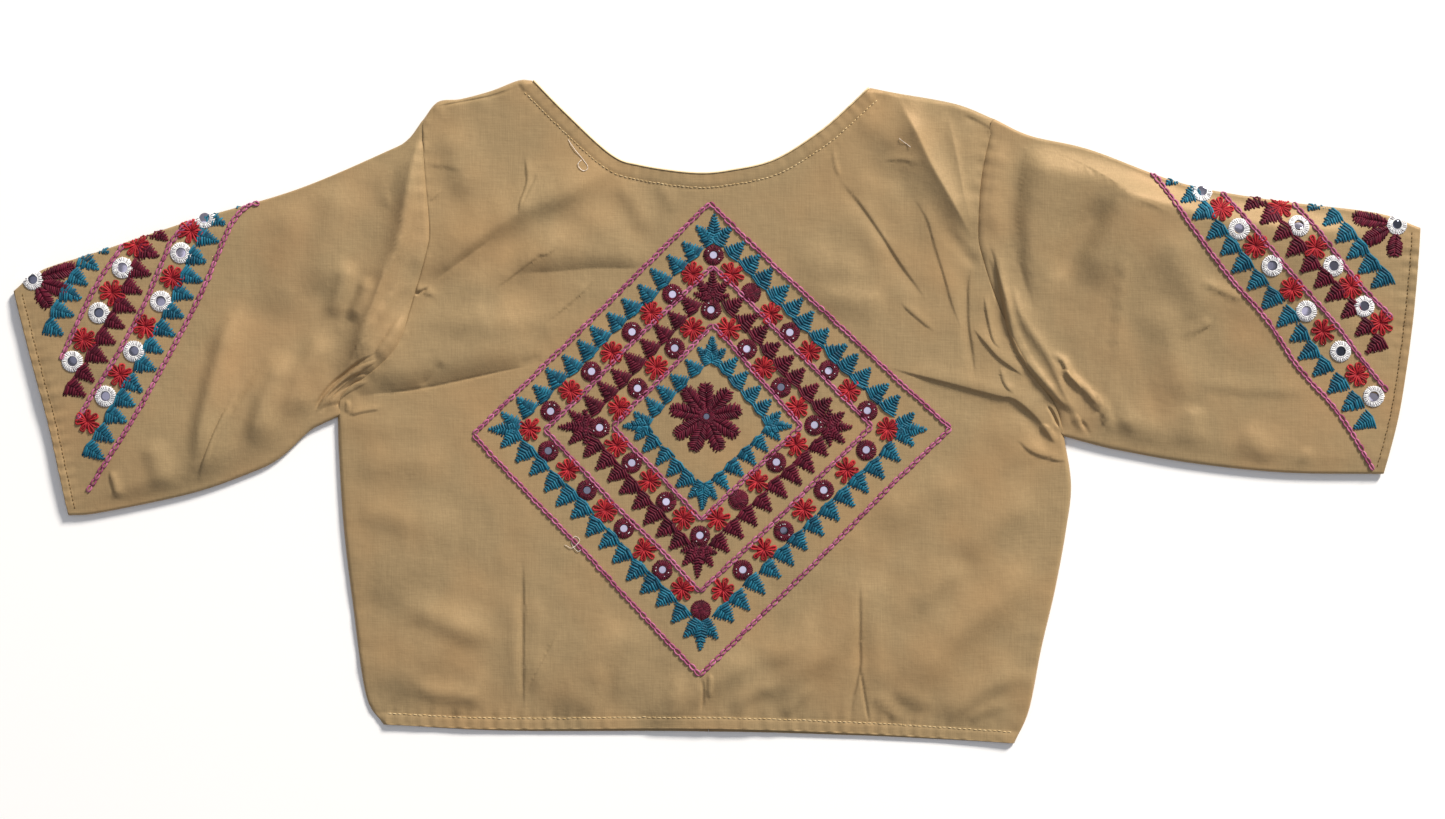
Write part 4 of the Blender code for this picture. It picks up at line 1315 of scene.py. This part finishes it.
def stitches(threads, path, inset, length, radius, stream, start=0.0, end=1.0, side=1, gap=0.28):
    """A row of machine stitches beside a path, inset to its left."""
    whole = path.length * (end - start)
    number = max(2, round(whole / length))
    for k in range(number):
        at = start + (end - start) * (k + np.array([gap / 2, 0.35, 0.65, 1 - gap / 2])) / number
        xy = path(at) + inset * leftward(path, at)
        xy += stream.normal(0, 0.12, 2)
        threads.add(xy, [-0.05, radius * 0.9, radius * 0.9, -0.05],
                    [radius * 0.8, radius, radius, radius * 0.8], side)


class CHOLI_OT_sewing(bpy.types.Operator):
    """Sew the hem, the neck, the cuffs and the front edges, and leave a few loose threads"""

    bl_idname = "choli.sewing"
    bl_label = "Sewing"

    def execute(self, context):
        props = context.scene.choli_sewing
        stream = np.random.default_rng(props.seed)
        back = Threads()
        stitches(back, HEM, HEM_STITCH, props.stitch * 1.25, 0.3, stream, 0.005, 0.995)
        stitches(back, NECK, -NECK_STITCH, props.stitch, 0.3, stream, 0.01, 0.99)
        back.piece("back_stitches", Store.surfaces["back"], shared("cream"), 4)
        for side, name in ((-1, "left"), (1, "right")):
            cuff = cuff_edge(side)
            rows = Threads()
            for layer in (1, -1):
                stitches(rows, cuff, -side * CUFF_STITCH, props.stitch, 0.26, stream, 0.02, 0.98, layer)
            rows.piece(f"cuff_{name}_stitches", Store.surfaces[f"sleeve_{name}"], shared("ditch"), 4)
            under = Threads()
            span = (0.005, FRONT_MIDDLE - 0.006) if side < 0 else (FRONT_MIDDLE + 0.006, 0.995)
            x = CENTRE_FRONT_X + side * FRONT_EDGE_STITCH
            edge = smooth_path([(x, -189), (x, 40)])
            stitches(under, FRONT_HEM, FRONT_HEM_STITCH, props.stitch * 1.25, 0.28, stream, *span, side=-1)
            neck_inset = -side * FRONT_NECK_STITCH
            for path, inset, start in ((front_neck(side), neck_inset, 0.04), (edge, 0.0, 0.02)):
                stitches(under, path, inset, props.stitch, 0.28, stream, start, 0.96, side=-1)
            under.piece(f"front_{name}_stitches", Store.surfaces[f"front_{name}"], shared("cream"), 4)
        self.loose()
        return {"FINISHED"}

    def loose(self):
        """Loose ends of sewing thread that lie on the back."""
        ends = [
            [(-89, 164), (-85, 158), (-80, 152), (-77, 147), (-80, 145), (-83, 149), (-79, 153)],
            [(-91, -79), (-87, -81), (-84, -79), (-82, -76), (-85, -74), (-87, -78), (-83, -83), (-80, -80)],
            [(109.4, 164.6), (112, 162.6), (115, 160.4), (117.9, 157.6)],
        ]
        threads = Threads()
        for row in ends:
            path = smooth_path(row)
            marks = np.linspace(0, 1, 5 * (len(row) - 1) + 1)
            for a in range(0, len(marks) - 4, 4):
                at = marks[a : a + 5]
                threads.add(path(at), np.full(5, 0.45) + 0.25 * np.sin(at * 9), np.full(5, 0.2))
        threads.piece("loose_threads", Store.surfaces["back"], shared("pale"), 4)


def direction(angle):
    """The unit vector at an angle, or one for each of several."""
    return np.stack([np.cos(angle), np.sin(angle)], axis=-1)


def turned(points, angle):
    c, s = math.cos(angle), math.sin(angle)
    return points @ np.array([[c, s], [-s, c]])


def chain(threads, path, props, stream, start=0.0, end=1.0, side=1):
    """A line of chain stitch: each link is two strands that part and meet again."""
    number = max(2, round(path.length * (end - start) / props.chain))
    for k in range(number):
        at = start + (end - start) * (k + np.array([-0.1, 0.2, 0.5, 0.82, 1.06])) / number
        centre = path(np.clip(at, 0, 1)) + stream.normal(0, 0.12, 2)
        beside = leftward(path, np.clip(at, 0, 1))
        wide = 1.0 * (1 + stream.normal(0, 0.12))
        for way in (-1, 1):
            spread = way * wide * np.array([0.2, 0.9, 1.0, 0.75, 0.1])
            xy = centre + spread[:, None] * beside + stream.normal(0, 0.06, 2)
            threads.add(xy, [0.1, 0.5, 0.62, 0.65, 0.3], [0.34, 0.58, 0.64, 0.58, 0.3], side)


def leaf(threads, base, angle, length, width, props, stream, side=1, slant=0.4, past=0.0):
    """A leaf or a triangle in close fishbone stitch, from base outwards along angle. width gives
    half its breadth at a share of its length, and past is how far stitches cross its middle."""
    number = max(5, round(length / ((2.35 if past else 2.0) * props.thread)))
    shares = np.linspace(0.0, 1.0, 9)
    edge = np.array([(max(width(t) - 0.25, 0.1), length * t) for t in shares])
    outline = np.concatenate([edge, (edge * [-1, 1])[::-1]])
    threads.pad(base + turned(outline, angle - math.pi / 2), 0.3, side)
    for k in range(number):
        t = (k + 0.5) / number
        for way in (-1, 1):
            reach = width(t) * (1 + stream.normal(0, 0.06)) + 0.4 * (k % 2)
            out = np.array([way * reach, length * t + 0.5 + stream.normal(0, 0.2)])
            crossed = stream.uniform(0, past) * reach
            inside = np.array([way * (0.1 - crossed), max(length * t - slant * (reach + crossed), -0.3)])
            row = np.stack([out + 0.05 * (out - inside), out + 0.25 * (inside - out),
                            out + 0.7 * (inside - out), inside])
            radius = (1.12 if past else 1.0) * props.thread * (1 + stream.normal(0, 0.08))
            threads.add(base + turned(row, angle - math.pi / 2),
                        [-0.1, 0.45, 0.6, 0.3], [0.7 * radius, radius, 1.05 * radius, 0.85 * radius], side)
    tip = np.array([[0, length * 0.6], [0, length * 0.78], [0, length * 0.92], [0, length * 1.03]])
    threads.add(base + turned(tip, angle - math.pi / 2), [0.3, 0.5, 0.4, -0.1],
                [0.45, 0.55, 0.5, 0.35], side)


def triangle(threads, base, angle, length, half, props, stream, side=1):
    half = half * (1 + stream.normal(0, 0.05))
    lean = stream.normal(0, 0.06)
    leaf(threads, base, angle + lean, length * (1 + stream.normal(0, 0.05)),
         lambda t: half * (1 - t) ** 0.9 + 0.3, props, stream, side, 0.22, 0.35)


def petal_width(half):
    """Half the breadth of a blunt petal at a share of its length."""
    def width(t):
        opened = 0.3 + 0.7 * math.sin(math.pi / 2 * min(1.0, t / 0.5))
        closed = max(0.0, 1 - (max(0.0, t - 0.66) / 0.36) ** 2.2) ** 0.5
        return half * opened * closed + 0.2

    return width


def rosette(threads, centre, radius, stream, side=1):
    """Looped petals round a centre."""
    petals = int(stream.integers(7, 9))
    start = stream.uniform(0, 2 * math.pi)
    threads.pad(centre + 0.66 * radius * direction(start + np.arange(12) * math.pi / 6), 0.3, side)
    for k in range(petals):
        angle = start + 2 * math.pi * k / petals + stream.normal(0, 0.06)
        reach = radius * (1 + stream.normal(0, 0.06))
        wide = 1.2 * radius / 7 * (1 + stream.normal(0, 0.08))
        for way in (-1, 1):
            row = np.array([[0, 0.8], [way * 0.5 * wide, reach * 0.42], [way * wide, reach * 0.72],
                            [way * 0.95 * wide, reach * 0.9], [way * 0.15 * wide, reach * 0.97]])
            threads.add(centre + turned(row, angle), [0.5, 0.6, 0.55, 0.45, 0.3],
                        [0.4, 0.62, 0.74, 0.74, 0.66], side)
        row = np.array([[0, reach * 0.45], [0, reach * 0.62], [0, reach * 0.75], [0, reach * 0.85]])
        threads.add(centre + turned(row, angle), [0.2, 0.3, 0.3, 0.1], [0.4, 0.5, 0.5, 0.35], side)


def mirror_ring(threads, centre, inner, outer, stream, side=1):
    """Buttonhole stitches that hold a mirror, with a corded rim inside them."""
    number = 27
    start = stream.uniform(0, 1)
    for k in range(number):
        angle = 2 * math.pi * (k + start) / number + stream.normal(0, 0.02)
        reach = outer * (1 + stream.normal(0, 0.025))
        row = [
            (inner + share * (reach - inner)) * direction(angle + lag)
            for share, lag in ((0.0, 0.0), (0.4, 0.05), (0.75, 0.12), (1.0, 0.16))
        ]
        threads.add(centre + np.array(row), [0.7, 0.75, 0.5, -0.05], [0.5, 0.6, 0.64, 0.5], side)
    for arcs, radius, height, thick in ((6, inner + 0.25, 0.85, 0.42), (8, outer - 0.5, 0.45, 0.4)):
        for k in range(arcs):
            row = radius * direction(2 * math.pi * (k + np.linspace(-0.05, 1.05, 5)) / arcs)
            threads.add(centre + row, np.full(5, height), np.full(5, thick), side)


class Discs:
    """Small round mirrors, each a shallow dome."""

    def __init__(self):
        self.rows = []

    def add(self, centre, radius, tilt, tone, side=1):
        self.rows.append((np.asarray(centre, float), radius, tilt, tone, side))

    def piece(self, name, surface, material):
        points, faces, tones = [], [], []
        around, height = 20, 0.3
        angles = np.arange(around) * 2 * math.pi / around
        for centre, radius, tilt, tone, side in self.rows:
            place, normal = surface.lay(centre[None], side)
            place, normal = place[0], normal[0]
            normal = normal + np.array([tilt[0], tilt[1], 0])
            normal /= np.linalg.norm(normal)
            first = np.cross(normal, (0.0, 1.0, 0.0))
            first /= np.linalg.norm(first)
            second = np.cross(normal, first)
            base = len(points)
            for share, rise in ((1.0, 0.0), (0.96, 0.12), (0.6, 0.2)):
                for a in angles:
                    points.append(place + radius * share * (math.cos(a) * first + math.sin(a) * second)
                                  + (height + rise) * normal)
            points.append(place + (height + 0.25) * normal)
            points.append(place + (height - 0.3) * normal)
            tones += [tone] * (3 * around + 2)
            for ring in (0, 1):
                for k in range(around):
                    a, b = base + ring * around + k, base + ring * around + (k + 1) % around
                    faces += [(a, a + around, b + around), (a, b + around, b)]
            for k in range(around):
                following = (k + 1) % around
                faces += [(base + 2 * around + following, base + 2 * around + k, base + 3 * around)]
                faces += [(base + k, base + following, base + 3 * around + 1)]
        return mesh_piece(name, np.array(points), np.array(faces), material, tones)


def diamond_side(corners, which):
    """The ends of one side of a diamond, the way along it and the way out of it."""
    start, end = np.array(corners[which], float), np.array(corners[(which + 1) % 4], float)
    along = (end - start) / np.linalg.norm(end - start)
    outward = np.array([-along[1], along[0]])
    if outward @ ((start + end) / 2 - np.mean(corners, axis=0)) < 0:
        outward = -outward
    return start, end, along, outward


def worked(start, surface, *pieces):
    """Makes the pieces of an embroidery: each a kind of work, its threads or discs and the name
    of their material."""
    for kind, work, material in pieces:
        if kind in ("chain_stitch", "mirrors"):
            work.piece(f"{start}_{kind}", surface, shared(material))
        else:
            work.piece(f"{start}_{kind}", surface, shared(material), 4)


class CHOLI_OT_back_embroidery(bpy.types.Operator):
    """Embroider the diamond on the back: chain stitch, triangles, rosettes, mirrors and a flower"""

    bl_idname = "choli.back_embroidery"
    bl_label = "Back embroidery"

    def execute(self, context):
        props = context.scene.choli_sewing
        stream = np.random.default_rng(props.seed + 1)
        pink, teal, maroon, red, painted_glints = (Threads() for _ in range(5))
        discs = Discs()
        for corners in DIAMONDS:
            for which in range(4):
                start, end, _, _ = diamond_side(corners, which)
                bow = zip((0.25, 0.5, 0.75), stream.normal(0, 0.5, (3, 2)))
                line = [start, *(start + (end - start) * t + offset for t, offset in bow), end]
                chain(pink, smooth_path(line), props, stream)
        shared_work = (red, painted_glints, discs, props, stream)
        self.band(TRACKS[0], 9, 12, (11.5, 12.5, 6.4), teal, maroon, *shared_work, 3, (2, 18))
        self.band(TRACKS[1], 6, 8, (10.0, 12.3, 6.3), maroon, maroon, *shared_work, 5, (10,))
        self.inner_band(teal, props, stream)
        self.flower(maroon, discs, props, stream)
        worked(
            "back", Store.surfaces["back"], ("chain_stitch", pink, "pink"), ("teal_stitches", teal, "teal"),
            ("maroon_stitches", maroon, "maroon"), ("rosettes", red, "red"), ("glints", painted_glints, "white"),
            ("mirrors", discs, "mirror"),
        )
        return {"FINISHED"}

    def band(self, track, intervals, number, size, points, rings, red, painted_glints, discs, props, stream,
             leaves, hidden):
        """Mirrors and rosettes in turn along a track, with number triangles outside each of its
        sides and larger leaves at its corners. size is how far in the triangles begin, their
        length and half their breadth, and hidden are the mirrors that stitches cover."""
        inset, length, half = size
        index = 0
        for which in range(4):
            start, end, along, outward = diamond_side(track, which)
            for k in range(intervals):
                centre = start + (end - start) * k / intervals + stream.normal(0, 0.35, 2)
                if index % 2 == 0:
                    self.mirror(centre, rings, painted_glints, discs, stream, index in hidden)
                else:
                    rosette(red, centre, 7.2, stream)
                index += 1
            first = start - along * 3.5 + outward * 6.4
            last = end + along * 3.5 + outward * 6.4
            span = np.linalg.norm(last - first)
            for k in range(number):
                t = (inset + (span - 2 * inset) * k / (number - 1)) / span
                base = first + (last - first) * t + stream.normal(0, 0.3, 2)
                triangle(points, base, math.atan2(outward[1], outward[0]), length, half, props, stream)
            self.cluster(points, start, np.mean(track, axis=0), leaves, props, stream)

    def cluster(self, threads, corner, middle, leaves, props, stream):
        """The larger leaves that turn a row of triangles round a corner."""
        out = (corner - middle) / np.linalg.norm(corner - middle)
        angle = math.atan2(out[1], out[0])
        spans = {
            3: ((0.0, 16.5, 5.6), (0.78, 13.5, 5.6), (-0.78, 13.5, 5.6)),
            5: ((0.0, 16.0, 4.8), (0.68, 13.5, 5.0), (-0.68, 13.5, 5.0), (1.3, 10.0, 3.8),
                (-1.3, 10.0, 3.8)),
        }
        for turn, length, half in spans[leaves]:
            base = corner + direction(angle + turn) + (6.6 - 0.25 * abs(turn)) * out
            leaf(threads, base, angle + turn, length * (1 + stream.normal(0, 0.04)),
                 lambda t, half=half: half * (1 - t) ** 0.85 * min(1.0, 0.75 + t) + 0.3,
                 props, stream, 1, 0.25, 0.4)

    def mirror(self, centre, rings, painted_glints, discs, stream, covered):
        """A mirror in its ring with painted glints of white thread round it, or only the ring, its middle
        stitched over.
        """
        inner = 0.6 if covered else 2.6
        mirror_ring(rings, centre, inner, 6.1, stream)
        if covered:
            strand = np.array([[-2.2, 0], [-0.8, 0.1], [0.8, -0.1], [2.2, 0]])
            for k in range(-3, 4):
                row = turned(strand + np.array([0, k * 0.75]), 0.4)
                rings.add(centre + row, [0.6, 0.85, 0.85, 0.6], np.full(4, 0.55))
            return
        tone = 0.15 if stream.uniform() < 0.15 else stream.uniform(0.65, 1.0)
        discs.add(centre, 2.9, stream.normal(0, 0.05, 2), tone)
        # Painted glints: a few short white strands round the mirror stand in for its highlights.
        for k in range(int(stream.integers(2, 6))):
            angle = stream.uniform(0, 2 * math.pi)
            size = stream.uniform(0.22, 0.42)
            spot = centre + 4.0 * direction(angle)
            row = spot + np.outer([-1, -0.3, 0.3, 1], 0.32 * direction(angle + 1.2))
            painted_glints.add(row, [1.0, 1.1, 1.1, 1.0], [size * 0.6, size, size, size * 0.6])

    def inner_band(self, teal, props, stream):
        """The triangles and leaves inside the smallest diamond."""
        corners = DIAMONDS[2]
        middle = np.mean(corners, axis=0)
        shrunk = [middle + (np.array(c) - middle) * 0.655 for c in corners]
        for which in range(4):
            start, end, _, outward = diamond_side(shrunk, which)
            for t in (0.2, 0.4, 0.6, 0.8):
                base = start + (end - start) * t + stream.normal(0, 0.3, 2)
                triangle(teal, base, math.atan2(outward[1], outward[0]), 11.6, 5.5, props, stream)
            self.cluster_small(teal, start, middle, props, stream)

    def cluster_small(self, threads, corner, middle, props, stream):
        """Three leaves that fill a corner of the smallest diamond."""
        out = (corner - middle) / np.linalg.norm(corner - middle)
        angle = math.atan2(out[1], out[0])
        for turn, length, half in ((0.0, 15.0, 5.2), (0.8, 11.5, 5.0), (-0.8, 11.5, 5.0)):
            leaf(threads, corner + out * -1.5, angle + turn, length,
                 lambda t, half=half: half * (1 - t) ** 0.85 + 0.3, props, stream)

    def flower(self, maroon, discs, props, stream):
        """Nine petals round a small mirror in the middle of the diamonds."""
        centre = np.array(CENTRE, float)
        for k in range(9):
            angle = math.pi / 2 + 2 * math.pi * k / 9 + stream.normal(0, 0.03)
            leaf(maroon, centre + 3.0 * direction(angle), angle, 19.4 * (1 + stream.normal(0, 0.05)),
                 petal_width(4.2), props, stream)
        mirror_ring(maroon, centre, 2.1, 5.4, stream)
        discs.add(centre, 2.4, (0.0, 0.05), 0.1)


class CHOLI_OT_sleeve_embroidery(bpy.types.Operator):
    """Embroider both sleeves, on their upper and lower layers"""

    bl_idname = "choli.sleeve_embroidery"
    bl_label = "Sleeve embroidery"

    def execute(self, context):
        props = context.scene.choli_sewing
        for side, name in ((-1, "left"), (1, "right")):
            stream = np.random.default_rng(props.seed + 10 + side)
            self.sleeve(side, name, props, stream)
        return {"FINISHED"}

    def sleeve(self, side, name, props, stream):
        """Three lines of chain stitch with triangles, the mirrors and rosettes between them, and the
        petals at the cuff, all above and below."""
        fold = sleeve_top(side)
        pink, teal, maroon, red, white = (Threads() for _ in range(5))
        discs = Discs()
        for layer in (1, -1):
            rows = zip(SLEEVE_LINES[side], SLEEVE_TRIANGLES[side], (teal, maroon, teal))
            for line, (number, first, last, gap), threads in rows:
                path = smooth_path(line)
                chain(pink, path, props, stream, 0.0, 1.0, layer)
                for k in range(number):
                    t = first + (last - first) * k / (number - 1)
                    inward = leftward(path, np.array(t)) * side
                    base = path(t) + inward * (gap + 12.4) + stream.normal(0, 0.25, 2)
                    angle = math.atan2(-inward[1], -inward[0])
                    if layer < 0 and self.crosses(fold, side, base, 6.0):
                        continue
                    triangle(threads, base, angle, 12.6, 6.4, props, stream, layer)
            for spot in SLEEVE_MIRRORS[side]:
                centre = np.array(spot, float)
                if layer < 0 and self.crosses(fold, side, centre, 5.0):
                    continue
                mirror_ring(white, centre, 3.1, 6.4, stream, layer)
                discs.add(centre, 3.3, stream.normal(0, 0.08, 2), stream.uniform(0.0, 0.9), layer)
            for spot in SLEEVE_ROSETTES[side]:
                centre = np.array(spot, float)
                if layer < 0 and self.crosses(fold, side, centre, 5.0):
                    continue
                rosette(red, centre, 7.5, stream, layer)
            centre = np.array(CUFF_MIRROR[side], float)
            for degrees, reach in CUFF_PETALS[side]:
                angle = math.radians(degrees)
                leaf(maroon, centre + 5.8 * direction(angle), angle, reach - 6.3, petal_width(4.3),
                     props, stream, layer)
        mirror_ring(white, centre, 2.9, 6.2, stream)
        discs.add(centre, 3.1, (0.03, 0.05), 0.1)
        start = f"sleeve_{name}"
        worked(
            start, Store.surfaces[start], ("chain_stitch", pink, "pink"), ("teal_stitches", teal, "teal"),
            ("maroon_stitches", maroon, "maroon"), ("rosettes", red, "red"),
            ("mirror_rings", white, "white"), ("mirrors", discs, "mirror"),
        )

    def crosses(self, fold, side, point, reach):
        """Whether a motif at a point goes round the top fold, so it is made once for both layers."""
        near = NearPath(fold, np.asarray(point, float)[None], 400)
        inside = near.side[0] * side < 0
        return near.distance[0] < reach or not inside


class CHOLI_OT_stage(bpy.types.Operator):
    """Lay the floor, light it softly and set the camera straight above"""

    bl_idname = "choli.stage"
    bl_label = "Stage"

    def execute(self, context):
        looks = context.scene.choli_looks
        mesh = bpy.data.meshes.new("floor")
        size, low = 3.0, -0.0004
        corners = [(x * size, y * size, low) for x, y in ((-1, -1), (1, -1), (1, 1), (-1, 1))]
        mesh.from_pydata(corners, [], [(0, 1, 2, 3)])
        made, tree, surface = new_material("matt_paper")
        set_inputs(tree, surface, {"Base Color": (*looks.floor, 1.0), "Roughness": 0.9})
        mesh.materials.append(made)
        floor = bpy.data.objects.new("floor", mesh)
        context.scene.collection.objects.link(floor)
        world = bpy.data.worlds.new("studio")
        context.scene.world = world
        world.use_nodes = True
        context.scene.view_settings.view_transform = "Standard"
        back = world.node_tree.nodes["Background"]
        set_inputs(world.node_tree, back, {"Color": linear("#F4F6FA"), "Strength": looks.fill})
        self.light(context, "key", (5.0, 7.4, 4.5), 2.4, looks.key, "#FFF9F0")
        self.light(context, "overhead", (-0.2, 0.1, 2.4), 2.1, looks.key * 0.0042, "#F2F2FF")
        camera_data = bpy.data.cameras.new("camera")
        camera_data.sensor_width = SENSOR
        camera_data.lens = SENSOR * CAMERA_DISTANCE / VIEW_WIDTH
        camera = bpy.data.objects.new("camera", camera_data)
        camera.location = (0.0033, 0.0014, 1.803)
        context.scene.collection.objects.link(camera)
        context.scene.camera = camera
        return {"FINISHED"}

    def light(self, context, name, place, size, power, colour):
        data = bpy.data.lights.new(name, "AREA")
        data.shape = "DISK"
        data.size = size
        data.energy = power
        data.color = linear(colour)[:3]
        lamp = bpy.data.objects.new(name, data)
        lamp.location = place
        x, y, z = place
        lamp.rotation_euler = (math.atan2(math.hypot(x, y), z), 0, math.atan2(x, -y))
        context.scene.collection.objects.link(lamp)


class CHOLI_PT_panel(bpy.types.Panel):
    """The blouse's pieces and their settings"""

    bl_label = "Choli Blouse"
    bl_idname = "CHOLI_PT_panel"
    bl_space_type = "VIEW_3D"
    bl_region_type = "UI"
    bl_category = "Choli"

    def draw(self, context):
        scene = context.scene
        for group in (scene.choli_cloth, scene.choli_sewing, scene.choli_looks):
            box = self.layout.box()
            for name in group.bl_rna.properties.keys():
                if name not in ("rna_type", "name"):
                    box.prop(group, name)
        for operator in OPERATORS:
            self.layout.operator(operator.bl_idname)


GROUPS = (CHOLI_PG_cloth, CHOLI_PG_sewing, CHOLI_PG_looks)
OPERATORS = (
    CHOLI_OT_fronts, CHOLI_OT_back, CHOLI_OT_sleeves, CHOLI_OT_neck, CHOLI_OT_sewing,
    CHOLI_OT_back_embroidery, CHOLI_OT_sleeve_embroidery, CHOLI_OT_stage,
)


def register():
    for made in (*GROUPS, *OPERATORS, CHOLI_PT_panel):
        bpy.utils.register_class(made)
    bpy.types.Scene.choli_cloth = PointerProperty(type=CHOLI_PG_cloth)
    bpy.types.Scene.choli_sewing = PointerProperty(type=CHOLI_PG_sewing)
    bpy.types.Scene.choli_looks = PointerProperty(type=CHOLI_PG_looks)


def unregister():
    del bpy.types.Scene.choli_looks
    del bpy.types.Scene.choli_sewing
    del bpy.types.Scene.choli_cloth
    for made in reversed((*GROUPS, *OPERATORS, CHOLI_PT_panel)):
        bpy.utils.unregister_class(made)


def main():
    register()
    for operator in OPERATORS:
        group, name = operator.bl_idname.split(".")
        getattr(getattr(bpy.ops, group), name)()


if __name__ == "__main__":
    main()
